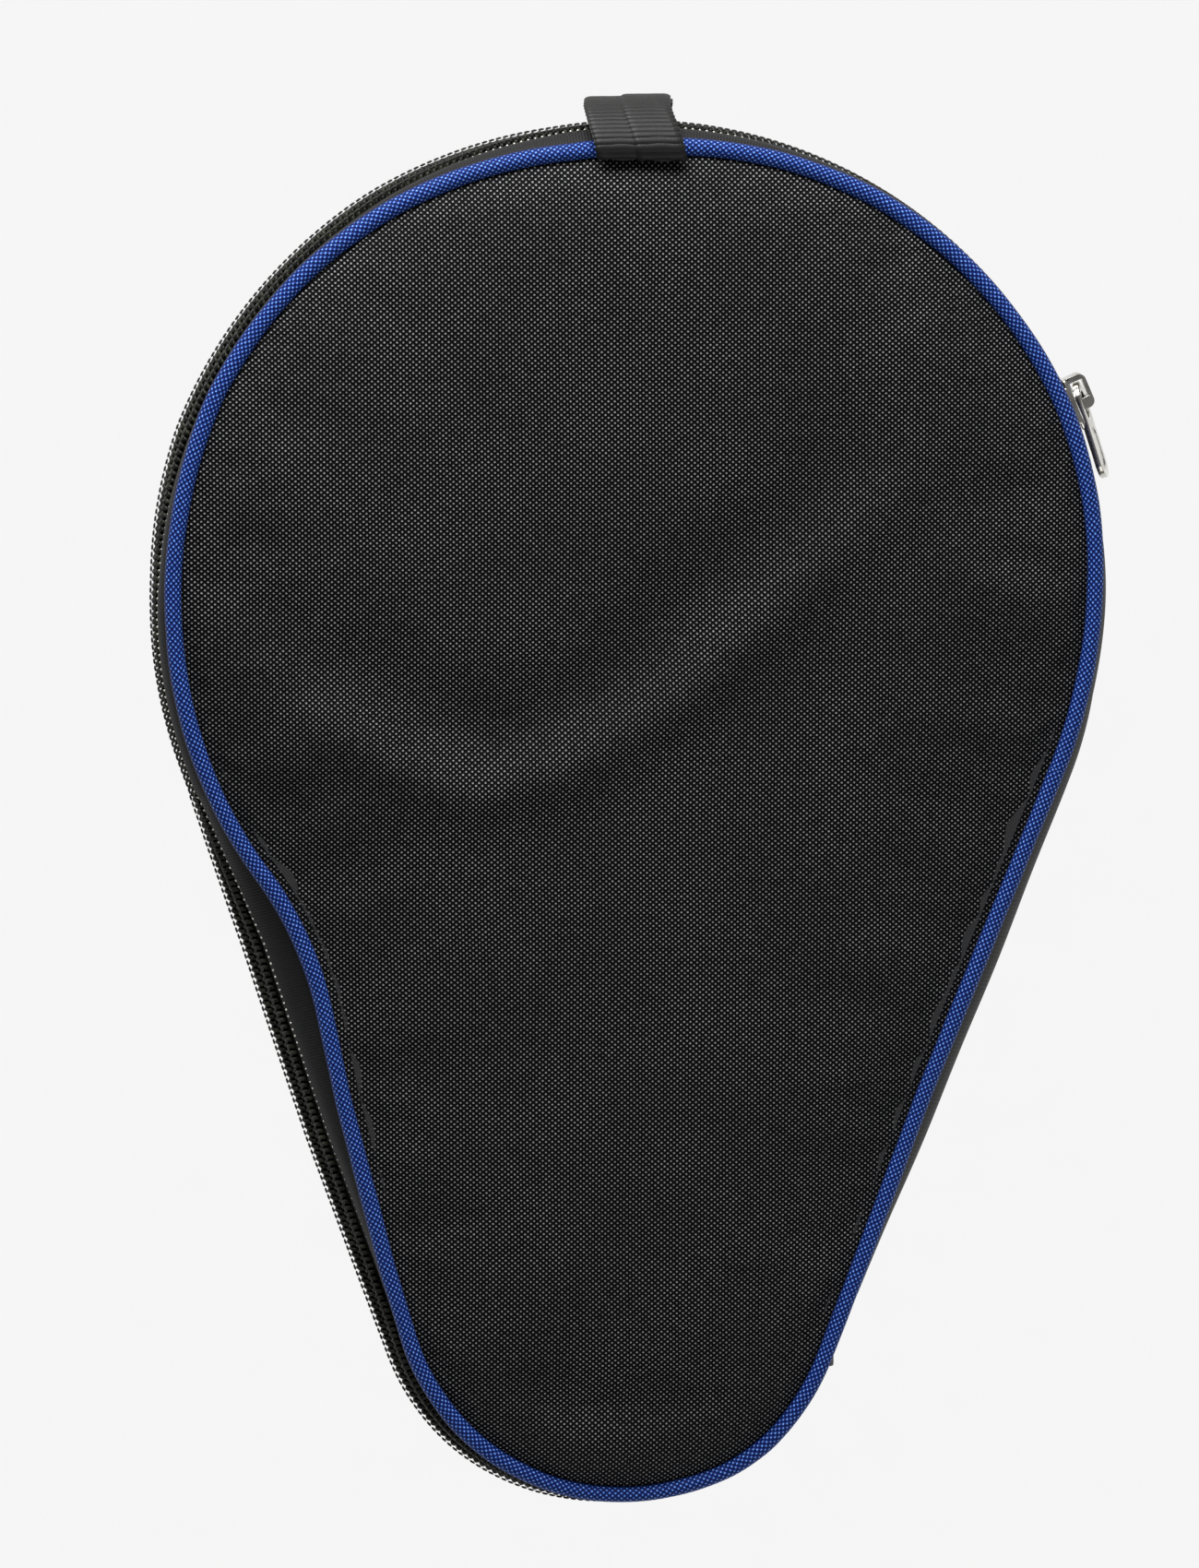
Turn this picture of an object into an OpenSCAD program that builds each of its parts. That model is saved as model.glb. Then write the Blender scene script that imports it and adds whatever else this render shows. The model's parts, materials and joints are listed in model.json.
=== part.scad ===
// Padded zip case for a table tennis bat.
// The case lies on its flat back, +Y towards the hanging loop and +Z out of the front panel.
// The origin is on the back face, under the centre of the round head.

/* [Outline] */
// Radius of the seam line round the head
head_r = 94.5; // [90:0.5:100]
// Radius of the seam line round the handle end
tip_r = 44.5; // [40:0.5:48]
// Distance from the head's centre down to the handle end's centre
tip_drop = 141.5; // [135:0.5:150]
// Sideways shift of the handle end
tip_shift = -3; // [-5:0.5:0]
// Radius of the hollow in the open flank, below the head
waist_r = 80; // [70:1:90]
// Direction that the open flank faces, from +X
flank_dir = 194; // [192:0.5:196]

/* [Thickness] */
// Depth of the side wall between the two seam lines
gusset_depth = 20.4; // [19:0.2:23]
// Rise of the front panel above its seam line
front_rise = 4.2; // [3.6:0.1:6]
// Rise of the back panel below its seam line
back_rise = 3.6; // [3.4:0.1:5]
// Width of the rounded border of each panel
border_w = 14; // [12:0.5:18]
// How far the side wall bulges past the seam line at the zip
bulge = 4.2; // [4:0.1:4.6]

/* [Cloth] */
// Thickness of the woven cover
cover_t = 0.8; // [0.6:0.1:0.9]
// Thickness of the lining
lining_t = 0.5; // [0.4:0.1:0.5]
// Thickness of the zip tapes and of the hinge strip
tape_t = 0.9; // [0.7:0.1:1]
// Radius of the piping
piping_r = 1.8; // [1.5:0.1:1.9]
// Radius of the cord inside the piping
core_r = 1.15; // [1:0.05:1.2]

/* [Zip] */
// Width of one row of the coil
coil_w = 2.85; // [2.6:0.05:2.9]
// Height of the coil
coil_h = 2.4; // [2:0.1:2.6]
// Direction of the parked slider from the head's centre
park_dir = 23.5; // [22:0.5:26]
// Direction of the end of the zip at the handle end
zip_end_dir = 335; // [333:0.5:336]

/* [Slider and pull] */
// Length of the slider along the zip
slider_l = 11; // [10:0.5:12]
// Width of the slider across the zip
slider_w = 8.4; // [8:0.1:8.6]
// Length of the pull from its bar to its tip
pull_l = 21; // [18:0.5:24]
// Width of the pull
pull_w = 8; // [7.4:0.1:9]
// Lean of the resting pull towards the zip
pull_lean = 5.5; // [4:0.5:5.5]

/* [Hanging loop] */
// Width of the webbing
webbing_w = 10; // [8:0.5:12]
// Thickness of the webbing
webbing_t = 1.2; // [1:0.1:1.4]
// Space between the zip and the webbing
loop_gap = 5.9; // [5.8:0.1:7]

/* [Hidden] */
$fn = 180;
eps = 0.05;

// Heights of the two seam lines and of the zip
back_seam_z = back_rise;
front_seam_z = back_seam_z + gusset_depth;
zip_z = back_seam_z + gusset_depth / 2;

// Points and directions of the seam outline
tip_c = [tip_shift, -tip_drop];
function ray(dir) = [cos(dir), sin(dir)];
tangent_dir = acos((head_r - tip_r) / norm(tip_c));
hinge_dir = atan2(tip_c.y, tip_c.x) + tangent_dir;
zip_flank_dir = atan2(tip_c.y, tip_c.x) - tangent_dir + 360;
flank_n = ray(flank_dir);
flank_u = ray(flank_dir + 90);
flank_reach = tip_c * flank_n + tip_r;
waist_s = sqrt(pow(head_r + waist_r, 2) - pow(flank_reach + waist_r, 2));
waist_c = (flank_reach + waist_r) * flank_n + waist_s * flank_u;
waist_dir = atan2(waist_c.y, waist_c.x) + 360;
flank_end = tip_c * flank_u;
run_l = sqrt(pow(norm(tip_c), 2) - pow(head_r - tip_r, 2));

// Levels inside one shell, measured from its seam line outwards
lining_z = 0.42;
foam_z = lining_z + lining_t + eps;
edge_in = 2.1;
edge_z = 1.3;
lining_in = 3.4;
foam_in = 4;
border_steps = 8;

// The zip: radial levels round the head, and heights from the zip's middle
zip_out = bulge;
coil_mid = zip_out - coil_h / 2;
coil_gap = 0.15;
edge_top = 4.5;
edge_t = 0.7;
tape_start = 4.6;
tape_foot = 3.5;
seam_foot = -0.2;
seam_drop = 2;
hinge_gap = 1;
zip_start_dir = 15;
coil_start_dir = park_dir - 1.3;
coil_end_dir = zip_end_dir - 3.1;
edge_start_dir = park_dir - 5.2;
stop_dir = park_dir - 6.6;
lap_dir = 0.1;

// Slider levels, from the head's seam circle outwards
slider_in = 1.5;
slider_plate = 1;
slider_top = 4.6;
crown_h = 3.9;
crown_w = 3.2;
crown_l = 7.4;
crown_shift = 1.6;
hole_l = 3.4;
hole_h = 2.3;
bar_r = 0.65;
bar_t = 2.2;
bar_out = slider_top + slider_plate + 0.5 + hole_h / 2;
pull_t = 1.3;
pull_window = 6.2;
arm_end = 1.3;

// ---- Paths: each carries a cross-section whose x is the inset and y the height ----
// A stretch that runs into its neighbour is slimmer by $slim, so that the two fuse cleanly.

$slim = 0;
lap = 0.3;
slim = 0.01;
tuck = 0.02;

module head_arc(from, to) {
    rotate([0, 0, from])
        rotate_extrude(angle = to - from)
            translate([head_r, 0]) mirror([1, 0]) children();
}

module tip_arc(from, to) {
    translate(tip_c) rotate([0, 0, from])
        rotate_extrude(angle = to - from)
            translate([tip_r, 0]) mirror([1, 0]) children();
}

module waist_arc() {
    extra = lap / waist_r * 180 / PI;
    $slim = 2 * slim;
    translate(waist_c) rotate([0, 0, flank_dir - 180 - extra])
        rotate_extrude(angle = waist_dir - flank_dir + 2 * extra)
            translate([waist_r, 0]) children();
}

module straight(dir, reach, from, to) {
    $slim = slim;
    rotate([0, 0, dir]) translate([reach, from - lap, 0])
        rotate([90, 0, 180]) linear_extrude(to - from + 2 * lap) children();
}

// All round the seam line
module seam_path() {
    head_arc(hinge_dir, waist_dir) children();
    waist_arc() children();
    straight(flank_dir, flank_reach, waist_s, flank_end) children();
    tip_arc(flank_dir, 360 + hinge_dir) children();
    straight(hinge_dir, head_r, -run_l, 0) children();
}

// From the parked slider round to the handle end, with a straight open flank
module zip_path(from, to) {
    head_arc(from, zip_flank_dir) children();
    straight(zip_flank_dir, head_r, 0, run_l) children();
    tip_arc(zip_flank_dir, to) children();
}

// Along the hinge side
module hinge_path() {
    head_arc(hinge_dir, zip_start_dir - lap_dir) children();
    straight(hinge_dir, head_r, -run_l, 0) children();
    tip_arc(zip_end_dir + lap_dir, 360 + hinge_dir) children();
}

// Rectangle of a cross-section
module strip(x, y, w, h) {
    translate([x + $slim, y + $slim]) square([w - 2 * $slim, h - 2 * $slim]);
}

// The seam outline, set in by a distance
module outline(inset) {
    hinge_n = ray(hinge_dir);
    difference() {
        union() {
            circle(head_r - inset);
            translate(tip_c) circle(tip_r - inset);
            polygon([
                [0, 0],
                (head_r - inset - tuck) * hinge_n,
                tip_c + (tip_r - inset - tuck) * hinge_n,
                tip_c,
                tip_c + (tip_r - inset - tuck) * flank_n,
                waist_c - (waist_r + inset + tuck) * flank_n,
                waist_c - waist_r / 2 * flank_n,
                waist_c - waist_r / 2 * ray(waist_dir)
            ]);
        }
        translate(waist_c) circle(waist_r + inset + 2 * tuck);
    }
}

// ---- Shells: the same layers make the front and the back ----

function rise_at(x, rise) =
    edge_z + (rise - edge_z) * pow(sin(90 * (x - edge_in) / (border_w - edge_in)), 0.8);
function border_at(i, from) = from + i * (border_w - from) / border_steps;
function cover_at(x, rise) = rise_at(x, rise - 2 * slim);

module cover_section(rise) {
    polygon([
        for (i = [0:border_steps])
            let (x = border_at(i, edge_in + $slim)) [x, cover_at(x, rise) - $slim],
        for (i = [border_steps:-1:0])
            let (x = border_at(i, edge_in + $slim)) [x, cover_at(x, rise) - cover_t + $slim]
    ]);
}

module foam_section(rise) {
    polygon([
        for (i = [0:border_steps])
            let (x = border_at(i, foam_in + $slim)) [x, cover_at(x, rise) - cover_t - eps - $slim],
        [border_w, foam_z + eps + $slim],
        [foam_in + $slim, foam_z + eps + $slim]
    ]);
}

// Flat middle of a layer, running a little way into its border
module middle(from, to) {
    translate([0, 0, from]) linear_extrude(to - from) outline(border_w - lap);
}

module panel(rise) {
    seam_path() cover_section(rise);
    middle(rise - cover_t, rise);
}

module foam_pad(rise) {
    seam_path() foam_section(rise);
    middle(foam_z, rise - cover_t - 3 * eps);
}

module lining() {
    seam_path() strip(lining_in, lining_z, border_w - lining_in, lining_t);
    middle(lining_z - slim, lining_z + lining_t + slim);
}

// Woven tube with the flange that is sewn into the seam
module piping() {
    seam_path() {
        difference() {
            union() {
                circle(piping_r - $slim, $fn = 48);
                strip(piping_r - 0.3, -0.35, 1.9, 0.45);
                strip(2.9, -6.3, 0.5, 6.35);
            }
            circle(core_r + 0.1 + $slim, $fn = 48);
        }
    }
}

module piping_core() {
    seam_path() circle(core_r - $slim, $fn = 48);
}

// Tape folded over the raw edge of the seam, inside the case
module seam_binding() {
    seam_path() {
        strip(2.4, -7.4, 0.4, 5);
        strip(3.5, -7.4, 0.4, 5);
        strip(2.4, -7.4, 1.5, 0.8);
    }
}

// Stretch of the open flank: how far the seam line lies in from the zip at s along it
waist_q = head_r + bulge - waist_c * ray(zip_flank_dir);
waist_along = waist_c * ray(zip_flank_dir + 90);
flank_lean = flank_dir - zip_flank_dir;
flank_foot = waist_along - waist_r * sin(flank_lean);
head_end = head_r * sin(waist_dir - zip_flank_dir);
tip_start = run_l + tip_r * sin(flank_lean);
function flank_gap(s) =
    s < head_end ? head_r + bulge - sqrt(pow(head_r, 2) - pow(s, 2)) :
    s < flank_foot ? waist_q + sqrt(pow(waist_r, 2) - pow(s - waist_along, 2)) :
    s < tip_start ? waist_q + waist_r * cos(flank_lean) - (s - flank_foot) * tan(-flank_lean) :
    tip_r + bulge - sqrt(pow(tip_r, 2) - pow(s - run_l, 2));

// Sloping wall from the seam line out to the zip, along the open flank
module flank_wall() {
    steps = 24;
    level = tape_start - gusset_depth / 2;
    ring = [
        for (i = [0:steps])
            let (s = -lap + i * (run_l + 2 * lap) / steps, foot = flank_gap(s) - seam_foot)
            each [
                [foot + slim, s, -seam_drop - slim],
                [bulge - tape_foot + slim, s, level + slim],
                [bulge - tape_foot + tape_t - slim, s, level + slim],
                [foot + tape_t - slim, s, -seam_drop - slim]
            ]
    ];
    last = 4 * steps;
    rotate([0, 0, zip_flank_dir]) polyhedron(
        [for (p = ring) [head_r + bulge - p.x, p.y, p.z]],
        [
            [0, 1, 2, 3],
            [last + 3, last + 2, last + 1, last],
            for (i = [0:steps - 1], k = [0:3]) [
                4 * i + k,
                4 * i + 4 + k,
                4 * i + 4 + (k + 1) % 4,
                4 * i + (k + 1) % 4
            ]
        ]
    );
}

module wall_section(foot, level) {
    polygon([
        [-seam_foot + $slim, -seam_drop - $slim],
        [-seam_foot + tape_t - $slim, -seam_drop - $slim],
        [-foot + tape_t - $slim, level + $slim],
        [-foot + $slim, level + $slim]
    ]);
}

module zip_tape() {
    level = tape_start - gusset_depth / 2;
    head_arc(zip_start_dir, zip_flank_dir) wall_section(tape_foot, level);
    flank_wall();
    tip_arc(zip_flank_dir, zip_end_dir) wall_section(tape_foot, level);
}

module hinge_strip() {
    hinge_path() wall_section(bulge, hinge_gap - gusset_depth / 2);
}

// One row of the coil with the tape edge that it is sewn to, from the zip's middle up
module zip_coil() {
    zip_path(coil_start_dir, coil_end_dir)
        strip(-coil_mid - coil_h / 2, coil_gap, coil_h, coil_w);
    zip_path(edge_start_dir, zip_end_dir)
        strip(-coil_mid - edge_t / 2, coil_gap + coil_w - lap, edge_t, edge_top - coil_gap - coil_w + lap);
}

module coil_stitching() {
    zip_path(edge_start_dir, coil_end_dir)
        translate([-tape_foot - 0.3, 5]) circle(0.22 - $slim, $fn = 24);
}

module top_stop() {
    rotate([0, 0, stop_dir])
        translate([head_r + coil_mid - 1.3, -1.1, 0.3]) cube([2.6, 2.2, 4]);
}

module bottom_stop() {
    translate(tip_c) rotate([0, 0, zip_end_dir - 1.5])
        translate([tip_r + coil_mid - 1.5, -1.1, -2.6]) cube([3, 2.2, 5.2]);
}

// Front and back shells hang on their own seam lines
module on_front() {
    translate([0, 0, front_seam_z]) children();
}

module on_back() {
    translate([0, 0, back_seam_z]) mirror([0, 0, 1]) children();
}

module above_zip() {
    translate([0, 0, zip_z]) children();
}

module below_zip() {
    translate([0, 0, zip_z]) mirror([0, 0, 1]) children();
}

// ---- Zip slider, drawn at the parked place: x outwards, y along the zip, z across it ----

module at_slider() {
    translate([0, 0, zip_z]) rotate([0, 0, park_dir]) translate([head_r, 0, 0]) children();
}

module rounded_plate(l, w, corner) {
    for (x = [-1, 1], y = [-1, 1])
        translate([x * (l / 2 - corner), y * (w / 2 - corner)]) circle(corner, $fn = 32);
    square([l, w - 2 * corner], center = true);
    square([l - 2 * corner, w], center = true);
}

module slider_plate_at(level) {
    translate([level, 0, 0]) rotate([90, 0, 90]) linear_extrude(slider_plate)
        rounded_plate(slider_l, slider_w, 1.6);
}

module slider_body() {
    wall_h = 0.9;
    wall_t = 0.75;
    wall_l = slider_l - 4.4;
    slider_plate_at(slider_in - slider_plate);
    slider_plate_at(slider_top);
    for (z = [-1, 1]) {
        for (x = [slider_in, slider_top - wall_h])
            translate([x - eps, 2.2 - wall_l / 2 - 1, z * (slider_w - wall_t) / 2 - wall_t / 2])
                cube([wall_h + 2 * eps, wall_l, wall_t]);
    }
    translate([slider_in - eps, -slider_l / 2 + 1.5, 0]) rotate([0, 90, 0])
        linear_extrude(slider_top - slider_in + 2 * eps)
            polygon([[0, -1.2], [1.4, 0.3], [0, 1.8], [-1.4, 0.3]]);
}

// Bridge over the slider with the window that the pull's bar lies in
module slider_crown() {
    radius = 1.2;
    translate([slider_top + slider_plate - eps, crown_shift, -crown_w / 2])
        linear_extrude(crown_w) difference() {
            union() {
                translate([0, -crown_l / 2]) square([crown_h - radius + eps, crown_l]);
                translate([0, radius - crown_l / 2]) square([crown_h + eps, crown_l - 2 * radius]);
                for (y = [-1, 1])
                    translate([crown_h - radius + eps, y * (crown_l / 2 - radius)])
                        circle(radius, $fn = 32);
            }
            translate([0.5 + eps, bar_t - crown_shift - hole_l / 2]) square([hole_h, hole_l]);
        }
}

// The pull lies along -y from its bar: arms past the crown, then a plate with an oval recess
module pull() {
    corner = 1.9;
    recess = 0.25;
    translate([bar_out, bar_t, 0]) rotate([0, 0, -pull_lean]) {
        cylinder(crown_w + 1.6, r = bar_r, center = true, $fn = 32);
        rotate([90, 0, -90]) difference() {
            translate([(pull_l - arm_end) / 2, 0, -pull_t / 2])
                linear_extrude(pull_t) rounded_plate(pull_l + arm_end, pull_w, corner);
            translate([-2 * arm_end, -crown_w / 2 - 0.4, -pull_t])
                cube([2 * arm_end + pull_window, crown_w + 0.8, 2 * pull_t]);
            for (side = [0, 1])
                mirror([0, 0, side])
                    translate([(pull_window + pull_l) / 2, 0, pull_t / 2 - recess])
                        linear_extrude(1)
                            rounded_plate(pull_l - pull_window - 3.4, pull_w - 3.4, 2.2);
        }
    }
}

// ---- Hanging loop: one webbing, folded over at its far end into two legs side by side ----

loop_in = 10.9;
loop_y = head_r + bulge + loop_gap - loop_in;
loop_z = front_seam_z + 2.3 - loop_in;
loop_x = 0.3;
leg_gap = 0.2;
leg_l = 2.1;
fold_dir = -38;
fold_end_dir = -50;

module webbing_arc(from, to, width) {
    out = loop_in + webbing_t;
    rotate([90, 0, 90]) linear_extrude(width) intersection() {
        difference() {
            circle(out);
            circle(loop_in);
        }
        polygon([[0, 0], 3 * out * ray(from), 3 * out * ray((from + to) / 2), 3 * out * ray(to)]);
    }
}

module webbing_leg() {
    webbing_arc(fold_dir, 90, webbing_w);
    rotate([90, 0, 90]) linear_extrude(webbing_w) {
        translate([-leg_l, loop_in]) square([leg_l, webbing_t]);
        translate([-leg_l, loop_in + webbing_t / 2]) circle(webbing_t / 2, $fn = 32);
    }
}

// ---- Nodes ----

cloth = "#1c1d20";
foam = "#8d9095";
blue = "#1f3fa8";
tape = "#34363a";
olive = "#2b2c27";
thread = "#e4e3dc";
nickel = "#c9cacc";

module back_panel() {
    color(cloth) on_back() panel(back_rise);
}

module back_foam_pad() {
    color(foam) on_back() foam_pad(back_rise);
}

module back_lining() {
    color(cloth) on_back() lining();
}

module back_piping() {
    color(blue) on_back() piping();
}

module back_piping_core() {
    color(thread) on_back() piping_core();
}

module back_seam_binding() {
    color(tape) on_back() seam_binding();
}

module back_zip_tape() {
    color(tape) on_back() zip_tape();
}

module back_zip_coil() {
    color(olive) below_zip() zip_coil();
}

module back_coil_stitching() {
    color(thread) below_zip() coil_stitching();
}

module back_hinge_strip() {
    color(olive) on_back() hinge_strip();
}

module back_top_stop() {
    color(nickel) below_zip() top_stop();
}

module zip_bottom_stop() {
    color(nickel) above_zip() bottom_stop();
}

module front_panel() {
    color(cloth) on_front() panel(front_rise);
}

module front_foam_pad() {
    color(foam) on_front() foam_pad(front_rise);
}

module front_lining() {
    color(cloth) on_front() lining();
}

module front_piping() {
    color(blue) on_front() piping();
}

module front_piping_core() {
    color(thread) on_front() piping_core();
}

module front_seam_binding() {
    color(tape) on_front() seam_binding();
}

module front_zip_tape() {
    color(tape) on_front() zip_tape();
}

module front_zip_coil() {
    color(olive) above_zip() zip_coil();
}

module front_coil_stitching() {
    color(thread) above_zip() coil_stitching();
}

module front_hinge_strip() {
    color(olive) on_front() hinge_strip();
}

module front_top_stop() {
    color(nickel) above_zip() top_stop();
}

module zip_slider() {
    color(nickel) at_slider() {
        slider_body();
        slider_crown();
    }
}

module pull_tab() {
    color(nickel) at_slider() pull();
}

module hang_loop() {
    color(cloth) translate([loop_x, loop_y, loop_z]) {
        translate([-webbing_w, 0, 0]) webbing_leg();
        translate([leg_gap, 0, 0]) webbing_leg();
        translate([-webbing_w, 0, 0]) webbing_arc(fold_end_dir, fold_dir, 2 * webbing_w + leg_gap);
    }
}

back_panel();
back_foam_pad();
back_lining();
back_piping();
back_piping_core();
back_seam_binding();
back_zip_tape();
back_zip_coil();
back_coil_stitching();
back_hinge_strip();
back_top_stop();
zip_bottom_stop();
front_panel();
front_foam_pad();
front_lining();
front_piping();
front_piping_core();
front_seam_binding();
front_zip_tape();
front_zip_coil();
front_coil_stitching();
front_hinge_strip();
front_top_stop();
zip_slider();
pull_tab();
hang_loop();
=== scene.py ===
"""A padded, zipped case for a table tennis bat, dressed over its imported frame.

Lengths are in metres, directions in degrees from +X. +Y runs towards the hanging loop and
+Z out of the front panel. A route runs round the case anticlockwise, and a cloth strip's
UV map is its own flat size in millimetres, so that weaves and ribs keep their real pitch.
"""

import json
import logging
import math
from abc import ABC, abstractmethod
from contextlib import contextmanager
from dataclasses import dataclass, field
from enum import Enum
from typing import Any, Callable, Iterator, Sequence

import bmesh
import bpy
import numpy as np
from mathutils import Matrix, Vector
from mathutils.geometry import delaunay_2d_cdt
from mathutils.kdtree import KDTree

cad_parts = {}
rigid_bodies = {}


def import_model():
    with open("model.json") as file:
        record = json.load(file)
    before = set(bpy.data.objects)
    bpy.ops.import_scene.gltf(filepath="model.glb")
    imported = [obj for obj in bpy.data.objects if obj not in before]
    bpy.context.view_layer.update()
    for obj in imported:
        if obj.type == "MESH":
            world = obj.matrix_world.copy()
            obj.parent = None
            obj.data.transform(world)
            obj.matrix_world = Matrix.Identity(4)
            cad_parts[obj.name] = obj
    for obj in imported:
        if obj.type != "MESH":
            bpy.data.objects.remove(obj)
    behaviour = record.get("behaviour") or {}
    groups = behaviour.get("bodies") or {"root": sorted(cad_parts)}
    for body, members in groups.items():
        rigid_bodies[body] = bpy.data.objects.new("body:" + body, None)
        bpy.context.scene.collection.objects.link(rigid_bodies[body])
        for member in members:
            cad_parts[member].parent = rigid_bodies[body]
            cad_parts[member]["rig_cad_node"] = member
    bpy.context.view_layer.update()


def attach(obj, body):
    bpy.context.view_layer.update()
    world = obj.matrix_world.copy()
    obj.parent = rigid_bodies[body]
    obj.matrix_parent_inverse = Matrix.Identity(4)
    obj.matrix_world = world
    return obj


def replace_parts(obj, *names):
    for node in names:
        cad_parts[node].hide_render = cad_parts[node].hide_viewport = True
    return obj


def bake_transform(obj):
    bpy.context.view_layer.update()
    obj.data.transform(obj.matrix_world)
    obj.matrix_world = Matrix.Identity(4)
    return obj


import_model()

MM = 0.001
log = logging.getLogger("case")

Piece = bpy.types.Object
Place = Callable[[np.ndarray, np.ndarray], np.ndarray]


class Body(str, Enum):
    """The bodies that pieces ride on."""

    BACK = "back_shell"
    FRONT = "front_shell"
    SLIDER = "slider"
    PULL = "pull"
    LOOP = "loop"


class Side(Enum):
    """The two shells of the case: the body that each is and the way that it faces."""

    FRONT = ("front", Body.FRONT, 1)
    BACK = ("back", Body.BACK, -1)

    @property
    def label(self) -> str:
        """Start of the names of the shell's pieces."""
        return self.value[0]

    @property
    def body(self) -> Body:
        """Body that the shell's pieces ride on."""
        return self.value[1]

    @property
    def way(self) -> int:
        """1 if the shell faces +Z, -1 if it faces -Z."""
        return self.value[2]


# ---- Routes round the case -------------------------------------------------------------


def ray(direction: float) -> np.ndarray:
    """Unit vector of a direction in plan."""
    return np.array([math.cos(math.radians(direction)), math.sin(math.radians(direction))])


@dataclass(frozen=True)
class Arc:
    """Part of a circle in plan, run through from one direction to another."""

    centre: tuple[float, float]
    radius: float
    start: float
    end: float
    hollow: bool = False

    def rows(self, step: float) -> np.ndarray:
        """Points of the arc.

        Args:
            step: Most distance between neighbours.

        Returns:
            Rows of x, y and the outward direction's x and y.
        """
        sweep = abs(math.radians(self.end - self.start))
        count = max(2, math.ceil(sweep * self.radius / step))
        turn = np.radians(np.linspace(self.start, self.end, count + 1))
        rays = np.column_stack((np.cos(turn), np.sin(turn)))
        outward = -rays if self.hollow else rays
        return np.hstack((np.array(self.centre) + self.radius * rays, outward))


class Route:
    """A line round the case in plan, of arcs joined by straight runs."""

    STEP = 0.4 * MM

    def __init__(self, arcs: Sequence[Arc], closed: bool = False) -> None:
        """Joins the arcs in order, and the last to the first if closed."""
        rows = np.vstack([arc.rows(self.STEP) for arc in arcs])
        if closed:
            rows = np.vstack((rows, rows[:1]))
        steps = np.linalg.norm(np.diff(rows[:, :2], axis=0), axis=1)
        self.rows = rows[np.append(True, steps > 1e-9)]
        self.along = np.append(0, np.cumsum(steps[steps > 1e-9]))
        self.length = float(self.along[-1])
        even = np.linspace(0, self.length, math.ceil(self.length / self.STEP))
        even = np.unique(np.append(even, self.along))
        self.rows, self.along = self.at(even), even

    def at(self, along: np.ndarray) -> np.ndarray:
        """Rows of x, y and outward direction at distances along the route."""
        return np.column_stack([np.interp(along, self.along, self.rows[:, k]) for k in range(4)])

    def place(self, along: np.ndarray, out: np.ndarray, up: np.ndarray) -> np.ndarray:
        """Points at distances along the route, outwards from it and up from the ground.

        Args:
            along: Distance along the route.
            out: Distance outwards.
            up: Height.

        Returns:
            Rows of x, y, z.
        """
        rows = self.at(along)
        plan = rows[:, :2] + rows[:, 2:] * np.asarray(out)[:, None]
        return np.column_stack((plan, up))

    def wrap(self, piece: Piece) -> None:
        """Lays a straight piece along the route: its x runs along, y outwards, z up."""
        flat = points_of(piece)
        move_points(piece, self.place(flat[:, 0], flat[:, 1], flat[:, 2]))

    def inset(self, plan: np.ndarray) -> np.ndarray:
        """How far each point in plan lies inside the route; negative outside."""
        near = self.nearest(plan)
        return -((plan - near[:, :2]) * near[:, 2:]).sum(axis=1)

    def nearest(self, plan: np.ndarray) -> np.ndarray:
        """The route's row that is nearest to each point in plan."""
        tree = KDTree(len(self.rows))
        for index, row in enumerate(self.rows):
            tree.insert((row[0], row[1], 0), index)
        tree.balance()
        return self.rows[[tree.find((x, y, 0))[1] for x, y in plan]]


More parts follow.
